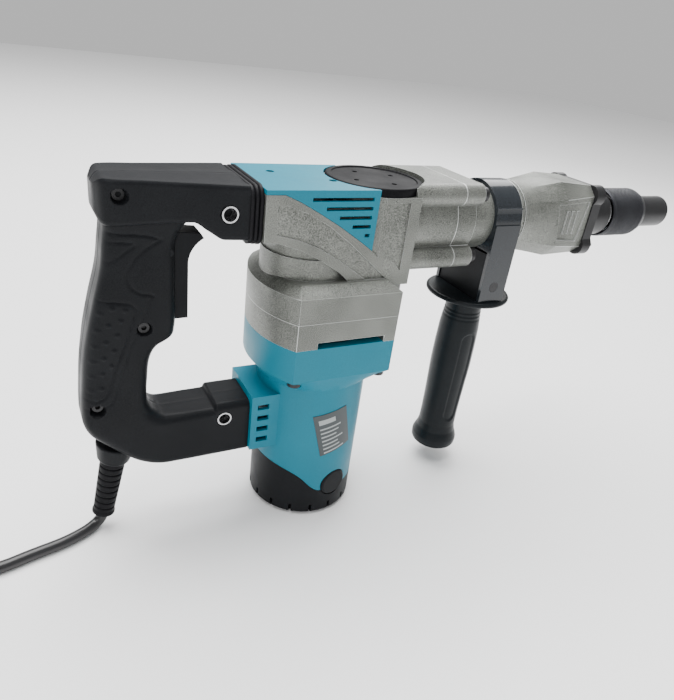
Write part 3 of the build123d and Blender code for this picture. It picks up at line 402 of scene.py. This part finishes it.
# ---- Clamp, plate and screws ----------------------------------------------------------------------
# The side handle's clamp is a bent steel band in gloss black enamel. The nose's plate and all
# the screws are steel with a black oxide finish.
band_enamel = finish("band_enamel", (0.008, 0.011, 0.014), (0.014, 0.018, 0.023),
                     (0.12, 0.24), 0.0015, 0.00003, Specular_IOR_Level=0.35, Coat_Weight=0.25)
black_oxide = finish("black_oxide", (0.012, 0.012, 0.013), (0.035, 0.035, 0.037), (0.3, 0.46), 0.0005,
                     0.00004, Metallic=0.5)
rounded_copy("clamp_band", (band_enamel,), 0.0009)
rounded_copy("front_plate", (black_oxide,), 0.0007)


def repaint(material, *names):
    """Gives shown CAD nodes their material."""
    for name in names:
        for place in frame["nodes"][name].material_slots:
            place.material = material


repaint(black_oxide, "end_cap_screws", "flange_screws", "barrel_bolts", "front_bolts", "cover_screws",
        "handle_screws", "handle_bolts", "tool_holder", "clamp_bolt")

# ---- D handle -------------------------------------------------------------------------------------
# Two black plastic shells screwed together round the switch. The top block bolts to the crank
# case and the lower arm to the motor casing. The grip between them is rounded for the hand,
# with a dotted panel and a thumb rest moulded into each side.
DETAIL_STEP = 0.00075
BLOCK_ROUND = 0.0028
BLOCK_AT = np.array((-0.066, -0.079, -0.0875, -0.097, -0.120, -0.141, -0.1450, -0.1475))
BLOCK_TOP = np.array((0.2515, 0.2517, 0.2518, 0.2519, 0.2522, 0.2524, 0.2510, 0.2476))
BLOCK_FOOT = np.array((0.2190, 0.2190, 0.2235, 0.2290, 0.2275, 0.2262, 0.2272, 0.2320))
BLOCK_HALF = np.array((0.0290, 0.0273, 0.0261, 0.0248, 0.0216, 0.0187, 0.0152, 0.0095))
# outer point, inner point, half width and corner radius of the grip and arm, from top to front
GRIP_STATIONS = np.array((
    (-0.1400, 0.2400, -0.1010, 0.2400, 0.0150, 0.0080),
    (-0.1434, 0.2270, -0.0950, 0.2310, 0.0178, 0.0085),
    (-0.1437, 0.2210, -0.1010, 0.2210, 0.0172, 0.0085),
    (-0.1448, 0.2120, -0.1040, 0.2120, 0.0170, 0.0080),
    (-0.1461, 0.2010, -0.1040, 0.2000, 0.0172, 0.0080),
    (-0.1519, 0.1764, -0.1040, 0.1700, 0.0175, 0.0080),
    (-0.1545, 0.1650, -0.1045, 0.1600, 0.0175, 0.0080),
    (-0.1562, 0.1570, -0.1060, 0.1543, 0.0175, 0.0085),
    (-0.1576, 0.1490, -0.1140, 0.1490, 0.0175, 0.0095),
    (-0.1607, 0.1228, -0.1215, 0.1220, 0.0172, 0.0095),
    (-0.1619, 0.1006, -0.1220, 0.1090, 0.0172, 0.0095),
    (-0.1585, 0.0882, -0.1198, 0.1020, 0.0174, 0.0090),
    (-0.1480, 0.0775, -0.1160, 0.0980, 0.0177, 0.0080),
    (-0.1280, 0.0618, -0.1090, 0.0956, 0.0180, 0.0065),
    (-0.1100, 0.0570, -0.0980, 0.0955, 0.0180, 0.0055),
    (-0.0930, 0.0570, -0.0900, 0.0955, 0.0180, 0.0050),
    (-0.0790, 0.0570, -0.0790, 0.0957, 0.0180, 0.0050),
    (-0.0768, 0.0570, -0.0768, 0.0989, 0.0180, 0.0050),
    (-0.0540, 0.0570, -0.0540, 0.0990, 0.0180, 0.0050),
))
PANEL_EDGE = ((-154.2, 182.3), (-146.3, 181.6), (-131.2, 179.4), (-128.2, 175.7), (-130.4, 167.4),
              (-135.7, 151.4), (-141.1, 136.1), (-145.6, 121.4), (-148.6, 117.1), (-153.6, 115.2),
              (-160.5, 117.5))
PALM_EDGE = ((-119.0, 184.0), (-122.2, 175.0), (-124.7, 167.8), (-131.9, 152.0), (-136.2, 136.5),
             (-140.8, 120.6), (-144.5, 112.8), (-151.0, 109.1), (-157.8, 108.6), (-161.0, 110.0))
THUMB_EDGE = ((-145.4, 222.5), (-135.3, 221.5), (-127.6, 221.0), (-118.5, 219.8), (-113.5, 217.5),
              (-117.0, 215.6), (-122.1, 212.6), (-128.1, 206.9), (-131.9, 200.6), (-132.5, 194.1),
              (-130.1, 189.0), (-125.8, 185.6), (-119.0, 184.0))
THUMB_TOP = ((-144.5, 217.0), (-137.0, 216.6), (-129.2, 216.4))
THUMB_FOOT = ((-128.0, 214.6), (-133.7, 210.6), (-139.6, 206.3), (-145.6, 203.3))
DOT_ROWS = ((-148.5, 174.3), (-150.6, 163.6), (-152.3, 153.0), (-153.8, 143.1), (-155.0, 132.9),
            (-155.9, 123.0), (-141.6, 177.2), (-144.2, 166.7), (-146.0, 155.8), (-147.6, 145.3),
            (-148.9, 134.7), (-150.0, 124.5), (-134.4, 175.6), (-137.2, 169.0), (-139.5, 159.9),
            (-141.6, 149.8), (-143.6, 139.8))
LINE_CUTS = (  # line, depth, half width
    (PANEL_EDGE, 0.00075, 0.0008), (PALM_EDGE, 0.0006, 0.0008), (THUMB_EDGE, 0.0007, 0.0008),
    (THUMB_TOP, 0.0006, 0.0007), (THUMB_FOOT, 0.0006, 0.0007),
)
DOT_HEIGHT, DOT_RADIUS = 0.0009, 0.0013
WELL_DEPTH, WELL_WALL = 0.006, 0.0008
SEAM_DEPTH, SEAM_HALF = 0.0004, 0.0005
CHANNEL_DEPTH, CHANNEL_HALF, CHANNEL_PLACE = 0.0009, 0.012, 0.55
TRIGGER_SLOT = ((-0.120, -0.0084, 0.161), (-0.085, 0.0084, 0.2195))
WELLS = ((-135.3, 243.0, 3.9), (-123.8, 162.2, 3.9), (-152.8, 108.3, 3.9), (-77.0, 234.6, 4.75),
         (-72.0, 87.9, 4.75))


def rounded_loop(flat_wide, flat_high, corner=9):
    """A unit rounded rectangle as (core, arc) pairs: the core slides along each flat while the arc
    stays square to it, and the arc turns a quarter at each corner while the core stays."""
    core, arc = [], []
    signs = ((1, 1), (-1, 1), (-1, -1), (1, -1))
    for side, (sx, sy) in enumerate(signs):
        turn = np.linspace(0, np.pi / 2, corner) + side * np.pi / 2
        core.append(np.tile((sx, sy), (corner, 1)))
        arc.append(np.stack([np.cos(turn), np.sin(turn)], axis=1))
        nx, ny = signs[(side + 1) % 4]
        count = flat_wide if side % 2 == 0 else flat_high
        along = np.linspace(0, 1, count + 2)[1:-1, None]
        core.append(np.array((sx, sy)) * (1 - along) + np.array((nx, ny)) * along)
        arc.append(np.tile(arc[-1][-1], (count, 1)))
    return np.vstack(core), np.vstack(arc)


def smooth_rows(rows, at, count):
    """Rows followed by a cubic through them: each span blends its ends' values and slopes."""
    slope = np.gradient(rows, at, axis=0)
    # a slope is no steeper than three times either neighbouring span, so that no row overshoots
    span = np.diff(rows, axis=0) / np.diff(at)[:, None]
    before, after = np.vstack([span[:1], span]), np.vstack([span, span[-1:]])
    limit = 3 * np.minimum(abs(before), abs(after))
    slope = np.where(before * after > 0, np.clip(slope, -limit, limit), 0)
    fine = np.linspace(at[0], at[-1], count)
    k = np.clip(np.searchsorted(at, fine, side="right") - 1, 0, len(at) - 2)
    gap = (at[k + 1] - at[k])[:, None]
    t = ((fine - at[k]) / gap[:, 0])[:, None]
    return (rows[k] * (2 * t**3 - 3 * t**2 + 1) + slope[k] * gap * (t**3 - 2 * t**2 + t)
            + rows[k + 1] * (3 * t**2 - 2 * t**3) + slope[k + 1] * gap * (t**3 - t**2))


def distance_to_path(x, z, path):
    """The least distance in the XZ plane from each point to a run of straight pieces, in metres."""
    path = np.array(path) / 1000
    best = np.full(x.shape, 1.0)
    for (x0, z0), (x1, z1) in zip(path[:-1], path[1:]):
        share = ((x - x0) * (x1 - x0) + (z - z0) * (z1 - z0)) / ((x1 - x0) ** 2 + (z1 - z0) ** 2)
        share = np.clip(share, 0, 1)
        best = np.minimum(best, np.hypot(x - x0 - share * (x1 - x0), z - z0 - share * (z1 - z0)))
    return best


def side_relief(x, z):
    """How far a side stands out or in: each line is a bell-shaped groove, each dot a bell-shaped
    rise, and each well falls smoothly to its floor."""
    height = np.zeros(x.shape)
    for path, depth, half in LINE_CUTS:
        height -= depth * np.exp(-(distance_to_path(x, z, path) / half) ** 2)
    for dot_x, dot_z in DOT_ROWS:
        reach = np.hypot(x - dot_x / 1000, z - dot_z / 1000)
        height += DOT_HEIGHT * np.exp(-(reach / DOT_RADIUS) ** 4)
    for well_x, well_z, radius in WELLS:
        reach = np.hypot(x - well_x / 1000, z - well_z / 1000) - radius / 1000
        height -= WELL_DEPTH * np.clip(0.5 - reach / WELL_WALL, 0, 1)
    return height


def grip_mesh():
    """The grip and arm: rounded rectangles between pairs of outer and inner points, joined smoothly.
    The sides carry their relief, and the parting line is a fine groove at the middle."""
    middle = (GRIP_STATIONS[:, 0:2] + GRIP_STATIONS[:, 2:4]) / 2
    at = np.concatenate([[0], np.cumsum(np.linalg.norm(np.diff(middle, axis=0), axis=1))])
    rows = smooth_rows(GRIP_STATIONS, at, int(at[-1] / DETAIL_STEP))
    core, arc = rounded_loop(34, 22)
    mid, reach = (rows[:, 0:2] + rows[:, 2:4]) / 2, (rows[:, 2:4] - rows[:, 0:2]) / 2
    length = np.linalg.norm(reach, axis=1)
    unit, half, corner = reach / length[:, None], rows[:, 4], rows[:, 5]
    across = core[None, :, 0] * (length - corner)[:, None] + arc[None, :, 0] * corner[:, None]
    wide = core[None, :, 1] * (half - corner)[:, None] + arc[None, :, 1] * corner[:, None]
    x = mid[:, None, 0] + unit[:, None, 0] * across
    z = mid[:, None, 1] + unit[:, None, 1] * across
    facing = arc[None, :, 1]
    wide = wide + facing * side_relief(x, z) * np.clip(abs(facing) * 3 - 1.4, 0, 1)
    seam = SEAM_DEPTH * np.exp(-(wide / SEAM_HALF) ** 2) * np.sign(across)
    x, z = x - unit[:, None, 0] * seam, z - unit[:, None, 1] * seam
    return grid_mesh("handle_grip", np.stack([x, wide, z], axis=-1), wrap_v=True, cap_ends=True)


def block_mesh():
    """The top block: rounded rectangles square to the barrel, whose top, foot and half width follow
    its outline. Its sides have the wells, and its top the parting line and two shallow channels."""
    at = BLOCK_AT[0] - BLOCK_AT
    rows = smooth_rows(np.stack([BLOCK_AT, BLOCK_TOP, BLOCK_FOOT, BLOCK_HALF], axis=1), at,
                       int(at[-1] / DETAIL_STEP))
    core, arc = rounded_loop(60, 36, corner=6)
    x, top, foot, half = rows[:, 0:1], rows[:, 1:2], rows[:, 2:3], rows[:, 3:4]
    y = core[None, :, 0] * (half - BLOCK_ROUND) + arc[None, :, 0] * BLOCK_ROUND
    z = (top + foot) / 2 + core[None, :, 1] * ((top - foot) / 2 - BLOCK_ROUND)
    z = z + arc[None, :, 1] * BLOCK_ROUND
    x = np.broadcast_to(x, y.shape)
    facing = arc[None, :, 0]
    y = y + facing * side_relief(x, z) * (abs(facing) > 0.95)
    z = z - SEAM_DEPTH * np.exp(-(y / SEAM_HALF) ** 2) * arc[None, :, 1]
    channel = np.exp(-((abs(y) - CHANNEL_PLACE * half) / CHANNEL_HALF) ** 2)
    z = z - CHANNEL_DEPTH * channel * (arc[None, :, 1] > 0.95)
    return grid_mesh("handle_block", np.stack([x, y, z], axis=-1), wrap_v=True, cap_ends=True)


def outward(mesh):
    """Turns the faces of a closed mesh outwards."""
    work = bmesh.new()
    work.from_mesh(mesh)
    bmesh.ops.recalc_face_normals(work, faces=work.faces)
    work.to_mesh(mesh)
    work.free()
    return mesh


def box_mesh(name, low, high):
    """A box as a grid of four corners carried from its low end to its high end."""
    x, y = np.array((low[0], high[0], high[0], low[0])), np.array((low[1], low[1], high[1], high[1]))
    z = np.tile([[low[2]], [high[2]]], 4)
    rings = np.stack([np.tile(x, (2, 1)), np.tile(y, (2, 1)), z], axis=-1)
    return outward(grid_mesh(name, rings, wrap_v=True, cap_ends=True))


def combine(piece, other, operation):
    """Adds the other mesh to the piece's, or takes it away, as whole solids."""
    tool = bpy.data.objects.new("combine_tool", other)
    bpy.context.collection.objects.link(tool)
    modifier = piece.modifiers.new("combine", "BOOLEAN")
    modifier.object, modifier.operation, modifier.solver = tool, operation, "EXACT"
    dg = bpy.context.evaluated_depsgraph_get()
    result = bpy.data.meshes.new_from_object(piece.evaluated_get(dg))
    piece.modifiers.remove(modifier)
    piece.data = result
    bpy.data.objects.remove(tool)


handle_shell = new_piece("handle_shell", outward(grip_mesh()), black_plastic)
combine(handle_shell, outward(block_mesh()), "UNION")
combine(handle_shell, box_mesh("trigger_slot", *TRIGGER_SLOT), "DIFFERENCE")
shell_faces = handle_shell.data.polygons
shell_faces.foreach_set("use_smooth", np.full(len(shell_faces), True))
handle_shell.data.set_sharp_from_angle(angle=math.radians(42))
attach(handle_shell, "tool_body")
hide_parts("handle_left", "handle_right")

# ---- Bellows --------------------------------------------------------------------------------------
# A ring of black rubber with three ribs, squeezed between the handle's block and the crank case.
RIB_PROFILE = np.array((
    (-65.9, 0.0), (-65.8, 0.5), (-64.0, 0.5), (-63.6, -0.2), (-63.4, -1.3), (-63.2, -1.3),
    (-63.0, -0.1), (-62.6, 0.8), (-61.3, 0.8), (-60.9, 0.0), (-60.8, -1.3), (-60.5, -1.3),
    (-60.3, 0.1), (-60.0, 1.0), (-58.3, 1.0), (-58.1, 0.6), (-58.1, -6.0), (-65.9, -6.0),
)) / 1000
soft_rubber = finish("soft_rubber", (0.005, 0.005, 0.006), (0.013, 0.013, 0.015),
                     (0.45, 0.62), 0.0005, 0.00004, Specular_IOR_Level=0.1)


def bellows_mesh(corner=0.007, middle=0.2334, half_wide=0.0296, half_high=0.0170):
    """A rounded rectangle carried along the barrel, standing out or in by the rib's profile."""
    core, arc = rounded_loop(12, 8)
    x, swell = RIB_PROFILE[:, 0:1], RIB_PROFILE[:, 1:2]
    y = core[None, :, 0] * (half_wide - corner) + arc[None, :, 0] * (corner + swell)
    z = middle + core[None, :, 1] * (half_high - corner) + arc[None, :, 1] * (corner + swell)
    points = np.stack([np.broadcast_to(x, y.shape), y, z], axis=-1)
    return outward(grid_mesh("handle_bellows_piece", points, wrap_u=True, wrap_v=True))


bellows = new_piece("handle_bellows_piece", bellows_mesh(), soft_rubber)
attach(bellows, "tool_body")
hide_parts("handle_bellows")

# ---- Strain relief --------------------------------------------------------------------------------
# A tapered rubber sleeve moulded on the lead, slit by rings of short slots so that it bends.
RELIEF_START, RELIEF_STOP = np.array((-0.1437, 0.0, 0.0577)), np.array((-0.1522, 0.0, 0.0136))
RELIEF_TAIL = 0.0135  # how far it goes up into the collar
RELIEF_RADIUS, RELIEF_TAPER, RELIEF_MOUTH = 0.0084, 0.0014, 0.0066
RELIEF_LIP, RELIEF_LIP_LENGTH = 0.0006, 0.003
RELIEF_SLOTS, RELIEF_FIRST, RELIEF_PITCH = 8, 0.0045, 0.0049
SLOT_DEPTH, SLOT_HALF, SLOT_BRIDGE = 0.0011, 0.00055, 0.16


def relief_mesh():
    """Circles along the lead's line. The radius tapers, dips at each slot except at two ribs on
    each side, swells at the very end and closes on the lead."""
    way = RELIEF_STOP - RELIEF_START
    length = np.linalg.norm(way)
    way = way / length
    along = np.concatenate([[-RELIEF_TAIL], np.linspace(0.0005 - RELIEF_TAIL, length, 190),
                            [length, length]])
    radius = RELIEF_RADIUS - RELIEF_TAPER * np.clip(along / length, 0, 1)
    lip = (along - length + RELIEF_LIP_LENGTH) / (RELIEF_LIP_LENGTH / 2)
    radius += RELIEF_LIP * np.clip(lip, 0, 1)
    angle = np.linspace(0, 2 * np.pi, 64, endpoint=False)
    centre = RELIEF_FIRST + RELIEF_PITCH * np.round((along - RELIEF_FIRST) / RELIEF_PITCH)
    last_slot = RELIEF_FIRST + RELIEF_PITCH * (RELIEF_SLOTS - 0.5)
    slotted = (centre >= RELIEF_FIRST - 1e-6) & (centre < last_slot)
    slot_line = np.exp(-((along - centre) / SLOT_HALF) ** 4) * slotted
    open_part = 1 - np.exp(-(np.sin(angle) / SLOT_BRIDGE) ** 4)
    radius = radius[:, None] - SLOT_DEPTH * slot_line[:, None] * open_part[None]
    radius[-2:] = [[RELIEF_MOUTH], [0.0]]
    radius[0] = 0.0
    sideways, upward = np.array((0.0, 1.0, 0.0)), np.cross(way, (0.0, 1.0, 0.0))
    around = np.cos(angle)[:, None] * upward + np.sin(angle)[:, None] * sideways
    points = RELIEF_START + along[:, None, None] * way + radius[..., None] * around
    return closed_poles(grid_mesh("strain_relief_piece", points, wrap_v=True))


def closed_poles(mesh):
    """Merges points that share a place, so that the poles close, and turns the faces outwards."""
    work = bmesh.new()
    work.from_mesh(mesh)
    bmesh.ops.remove_doubles(work, verts=work.verts, dist=1e-7)
    bmesh.ops.recalc_face_normals(work, faces=work.faces)
    work.to_mesh(mesh)
    work.free()
    return mesh


relief = new_piece("strain_relief_piece", relief_mesh(), soft_rubber)
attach(relief, "tool_body")
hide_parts("strain_relief")

# ---- Side grip ------------------------------------------------------------------------------------
# A turned rubber grip moulded on a core, with a guard disc at its top, shallow ovals on its
# sides and rings round its neck. It screws on the clamp's bolt.
GRIP_PLACE = 0.1322
GRIP_OUTLINE = np.array((
    (0.0, 14.0), (14.6, 14.0), (15.8, 14.3), (18.6, 16.4), (19.2, 17.5), (19.5, 20.5), (19.4, 23.0),
    (18.2, 26.6), (16.8, 30.0), (15.7, 36.0), (15.6, 48.0), (15.8, 62.0), (16.3, 80.0), (16.8, 96.0),
    (16.7, 112.0), (16.2, 130.0), (15.2, 142.0), (14.6, 148.0), (14.9, 152.0), (16.0, 154.8),
    (22.0, 156.6), (30.5, 158.5), (32.3, 159.3), (32.9, 160.3), (32.9, 161.5), (32.3, 162.3),
    (31.2, 162.7), (5.0, 162.7), (4.1, 162.4), (4.05, 161.0), (4.05, 108.0), (0.0, 108.0),
)) / 1000
GRIP_STEP, GRIP_SIDES = 0.0009, 120
GRIP_BODY_ENDS = 18  # the outline's point where the grip's body meets the guard
OVAL_MIDDLE, OVAL_STRAIGHT, OVAL_END = 0.086, 0.036, 0.0062
OVAL_DEPTH, OVAL_REACH, OVAL_WALL, OVAL_BEND = 0.0011, 1.06, 0.12, 0.016
NECK_RINGS, RING_DEPTH, RING_HALF = (0.1405, 0.1435, 0.1465), 0.0005, 0.0006


def side_grip_mesh():
    """The outline turned about the bolt's line. An oval sinks into each side, and three fine rings
    run round the neck."""
    gaps = np.linalg.norm(np.diff(GRIP_OUTLINE, axis=0), axis=1)
    at = np.concatenate([[0], np.cumsum(gaps)])
    fine = np.unique(np.concatenate([at, np.arange(0, at[-1], GRIP_STEP)]))
    radius, z = np.interp(fine, at, GRIP_OUTLINE[:, 0]), np.interp(fine, at, GRIP_OUTLINE[:, 1])
    angle = np.linspace(0, 2 * np.pi, GRIP_SIDES, endpoint=False)
    outside = fine < at[GRIP_BODY_ENDS]
    around = abs((angle % np.pi) - np.pi / 2) * OVAL_BEND
    beyond = np.clip(abs(z[:, None] - OVAL_MIDDLE) - OVAL_STRAIGHT, 0, 1)
    oval = np.hypot(around[None], beyond) / OVAL_END
    depth = OVAL_DEPTH * np.clip((OVAL_REACH - oval) / OVAL_WALL, 0, 1) * outside[:, None]
    rings = RING_DEPTH * sum(np.exp(-((z - level) / RING_HALF) ** 2) for level in NECK_RINGS)
    radius = radius[:, None] - depth - (rings * outside)[:, None]
    points = np.stack([GRIP_PLACE + radius * np.cos(angle), radius * np.sin(angle),
                       np.broadcast_to(z[:, None], radius.shape)], axis=-1)
    return closed_poles(grid_mesh("side_grip_piece", points, wrap_v=True))


grip_rubber = finish("grip_rubber", (0.006, 0.0075, 0.009), (0.011, 0.014, 0.016),
                     (0.3, 0.44), 0.0006, 0.00003, Specular_IOR_Level=0.14)
side_grip = new_piece("side_grip_piece", side_grip_mesh(), grip_rubber)
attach(side_grip, "side_grip")
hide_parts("side_grip")

# ---- Locking sleeve -------------------------------------------------------------------------------
# A turned steel sleeve, rolled with a fine diamond knurl and blackened, that slides on the holder.
BARREL_HEIGHT = 0.223
KNURL_STARTS, KNURL_DEPTH, KNURL_PITCH = 72, 0.00042, 0.0017
KNURL_FROM, KNURL_TO, KNURL_FADE, KNURL_RADIUS = 0.2522, 0.2850, 0.0005, 0.0198
KNURL_RINGS, REAR_POINTS, POINTS_A_START = 118, 4, 6
SLEEVE_SECTION = ((250.7, 18.4), (250.7, 19.2), (251.4, 19.6), (252.0, 19.6), (286.0, 19.7),
                  (287.2, 19.3), (291.6, 17.5), (292.5, 16.6), (292.4, 16.0), (278.0, 13.1),
                  (272.0, 13.1), (272.0, 18.4))


def sleeve_mesh():
    """The section turned about the barrel. Two sets of crossed helical grooves, each a triangle wave,
    leave a diamond wherever both are high."""
    section = np.array(SLEEVE_SECTION) / 1000
    lip = float(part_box("retainer_sleeve")[0][0])
    section[:, 0] += lip - section[0, 0]
    knurled = np.linspace(KNURL_FROM, KNURL_TO, KNURL_RINGS)
    rear, front = section[:REAR_POINTS], section[REAR_POINTS:]
    loop_x = np.concatenate([rear[:, 0], knurled, front[:, 0]])
    loop_r = np.concatenate([rear[:, 1], np.full(KNURL_RINGS, KNURL_RADIUS), front[:, 1]])
    angle = np.linspace(0, 2 * np.pi, KNURL_STARTS * POINTS_A_START, endpoint=False)
    turn, climb = KNURL_STARTS * angle / (2 * np.pi), (loop_x / KNURL_PITCH)[:, None]
    one = abs(((turn[None] + climb) % 1) - 0.5) * 2
    other = abs(((turn[None] - climb) % 1) - 0.5) * 2
    cut = np.zeros(len(loop_x))
    to_edge = np.minimum(knurled - KNURL_FROM, KNURL_TO - knurled)
    cut[REAR_POINTS:REAR_POINTS + KNURL_RINGS] = np.clip(to_edge / KNURL_FADE, 0, 1)
    height = np.clip(1.5 * np.minimum(one, other), 0, 1)
    radius = loop_r[:, None] - KNURL_DEPTH * cut[:, None] * (1 - height)
    points = np.stack([np.broadcast_to(loop_x[:, None], radius.shape), radius * np.sin(angle),
                       BARREL_HEIGHT + radius * np.cos(angle)], axis=-1)
    return outward(grid_mesh("retainer_sleeve_piece", points, wrap_u=True, wrap_v=True))


knurled_steel = finish("knurled_steel", (0.012, 0.013, 0.016), (0.035, 0.036, 0.042),
                       (0.3, 0.46), 0.0006, 0.00002, Metallic=0.6)
sleeve = new_piece("retainer_sleeve_piece", sleeve_mesh(), knurled_steel)
sleeve.data.set_sharp_from_angle(angle=math.radians(50))
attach(sleeve, "retainer_sleeve")
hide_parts("retainer_sleeve")

# ---- Rating label ---------------------------------------------------------------------------------
# A satin film stuck on the motor casing. It carries plain rows of bars in place of print.
LABEL_SLOPE, LABEL_MIDDLE = math.radians(14), (0.003, 0.0765)
label_film, nodes, links, shader = new_material("label_film", Roughness=0.36)
place = nodes.new("ShaderNodeTexCoord")
centred = nodes.new("ShaderNodeMapping")
centred.vector_type = "TEXTURE"
centred.inputs["Location"].default_value = (LABEL_MIDDLE[0], 0.0, LABEL_MIDDLE[1])
centred.inputs["Rotation"].default_value = (0.0, -LABEL_SLOPE, 0.0)
links.new(place.outputs["Object"], centred.inputs["Vector"])
parts = nodes.new("ShaderNodeSeparateXYZ")
links.new(centred.outputs["Vector"], parts.inputs["Vector"])


def label_step(operation, first, second):
    """A Math node between two sockets or numbers, as its output."""
    node = nodes.new("ShaderNodeMath")
    node.operation = operation
    for socket, value in zip(node.inputs, (first, second)):
        if isinstance(value, (int, float)):
            socket.default_value = value
        else:
            links.new(value, socket)
    return node.outputs[0]


ROW_PITCH, ROW_HALF = 0.0036, 0.17
ROWS_FROM, ROWS_TO, ROW_SWAY, ROW_BEAT = -0.0098, 0.0045, 0.003, 2.3
ROWS_TOP, HEAD_FOOT, HEAD_TOP, HEAD_TO = 0.0075, 0.0095, 0.0135, 0.003
x_place, z_place = parts.outputs["X"], parts.outputs["Z"]
rows = label_step("DIVIDE", z_place, ROW_PITCH)
in_row = label_step("COMPARE", label_step("FRACT", rows, 0), 0.5)
nodes[-1].inputs[2].default_value = ROW_HALF
sway = label_step("SINE", label_step("MULTIPLY", label_step("FLOOR", rows, 0), ROW_BEAT), 0)
row_end = label_step("ADD", label_step("MULTIPLY", sway, ROW_SWAY), ROWS_TO)
inside_left = label_step("GREATER_THAN", x_place, ROWS_FROM)
inside_right = label_step("LESS_THAN", x_place, row_end)
in_rows = label_step("LESS_THAN", z_place, ROWS_TOP)
bars = label_step("MULTIPLY", in_row, inside_left)
bars = label_step("MULTIPLY", bars, label_step("MULTIPLY", inside_right, in_rows))
head = label_step("MULTIPLY", label_step("GREATER_THAN", z_place, HEAD_FOOT),
                  label_step("LESS_THAN", z_place, HEAD_TOP))
head_wide = label_step("MULTIPLY", inside_left, label_step("LESS_THAN", x_place, HEAD_TO))
head = label_step("MULTIPLY", head, head_wide)
print_mask = label_step("MAXIMUM", bars, head)
ink = nodes.new("ShaderNodeMix")
ink.data_type = "RGBA"
ink.inputs["A"].default_value = (0.035, 0.045, 0.048, 1)
ink.inputs["B"].default_value = (0.34, 0.37, 0.37, 1)
links.new(print_mask, ink.inputs["Factor"])
links.new(ink.outputs["Result"], shader.inputs["Base Color"])
repaint(label_film, "rating_label")

# ---- Bright steel ---------------------------------------------------------------------------------
# Ground and turned steel that shows bare: the handle's bushes, the bearings, shafts, gears,
# striker and the plug's pins.
bright_steel = finish("bright_steel", (0.42, 0.42, 0.43), (0.62, 0.62, 0.63), (0.2, 0.36), 0.0008,
                      0.00002, Metallic=1.0)
repaint(bright_steel, "handle_bushes", "motor_bearings", "crank_bearings", "armature_shaft",
        "crank_gear", "crankshaft", "crank_pin", "wrist_pin", "striker", "impact_bolt", "lock_roller",
        "cylinder_liner", "plug_pins", "connecting_rod")

# ---- Springs --------------------------------------------------------------------------------------
# Two coil springs of drawn wire, one round the holder behind the locking sleeve and one between
# the switch and the trigger. Each seats on a fixed face.
SPRING_TURNS, WIRE_SIDES, STEPS_A_TURN = 5, 14, 48


def spring_mesh(name, seat, length, mean_radius, wire):
    """A helix about the X direction from its seat, with a circle of the wire's radius carried
    square to it: the tangent is (rise, -R sin, R cos), and the circle lies in the plane of the
    radius outwards and the cross of the two."""
    turn = np.linspace(0, 2 * np.pi * SPRING_TURNS, SPRING_TURNS * STEPS_A_TURN)
    rise = (length - 2 * wire) / turn[-1]
    outward_way = np.stack([np.zeros_like(turn), np.cos(turn), np.sin(turn)], axis=1)
    tangent = mean_radius * np.stack([np.full_like(turn, rise / mean_radius),
                                      -np.sin(turn), np.cos(turn)], axis=1)
    tangent /= np.linalg.norm(tangent, axis=1)[:, None]
    middle = np.array(seat) + mean_radius * outward_way
    middle[:, 0] += wire + rise * turn
    across = np.cross(tangent, outward_way)
    round_wire = np.linspace(0, 2 * np.pi, WIRE_SIDES, endpoint=False)
    points = (middle[:, None] + wire * (np.cos(round_wire)[None, :, None] * outward_way[:, None]
                                        + np.sin(round_wire)[None, :, None] * across[:, None]))
    return outward(grid_mesh(name, points, wrap_v=True, cap_ends=True))


def coil_spring(node, seat, length, mean_radius, wire):
    """A spring laid from its seat, which rides on the tool."""
    mesh = spring_mesh(node + "_coil", seat, length, mean_radius, wire)
    coil = new_piece(node + "_coil", mesh, bright_steel)
    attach(coil, "tool_body")
    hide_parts(node)
    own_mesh(coil)


coil_spring("sleeve_spring", seat=(0.2486, 0.0, BARREL_HEIGHT), length=0.0232,
            mean_radius=0.0156, wire=0.0009)
coil_spring("trigger_spring", seat=(-0.1239, 0.0, 0.178), length=0.0112,
            mean_radius=0.0032, wire=0.0004)

# ---- Motor, hammer and switch ---------------------------------------------------------------------
# Inside the casings: laminated cores, enamelled copper, carbon brushes, a die-cast piston, the
# fan, the brush holders, the switch and the lid's seal.
core_steel = finish("core_steel", (0.16, 0.16, 0.17), (0.3, 0.3, 0.31), (0.4, 0.6), 0.0005, 0.00008,
                    Metallic=0.9)
copper_wire = finish("copper_wire", (0.36, 0.13, 0.055), (0.62, 0.27, 0.12), (0.25, 0.42), 0.0007,
                     0.0001, Metallic=0.9)
carbon_block = finish("carbon_block", (0.01, 0.01, 0.01), (0.03, 0.03, 0.03), (0.6, 0.8), 0.0003,
                      0.00008)
piston_alloy = finish("piston_alloy", (0.55, 0.56, 0.57), (0.74, 0.75, 0.76), (0.25, 0.42), 0.0006,
                      0.00003, Metallic=1.0)
repaint(core_steel, "stator_core", "armature_core")
repaint(copper_wire, "field_coils", "armature_windings", "commutator")
repaint(carbon_block, "carbon_brushes")
repaint(piston_alloy, "piston")
repaint(black_plastic, "cooling_fan", "brush_holders", "switch_body")
repaint(soft_rubber, "cap_seal")

# ---- Plug -----------------------------------------------------------------------------------------
# A two-pin plug moulded on the lead's end in the sheath's own plastic.
rounded_copy("plug_body", (lead_sheath,), 0.0016)
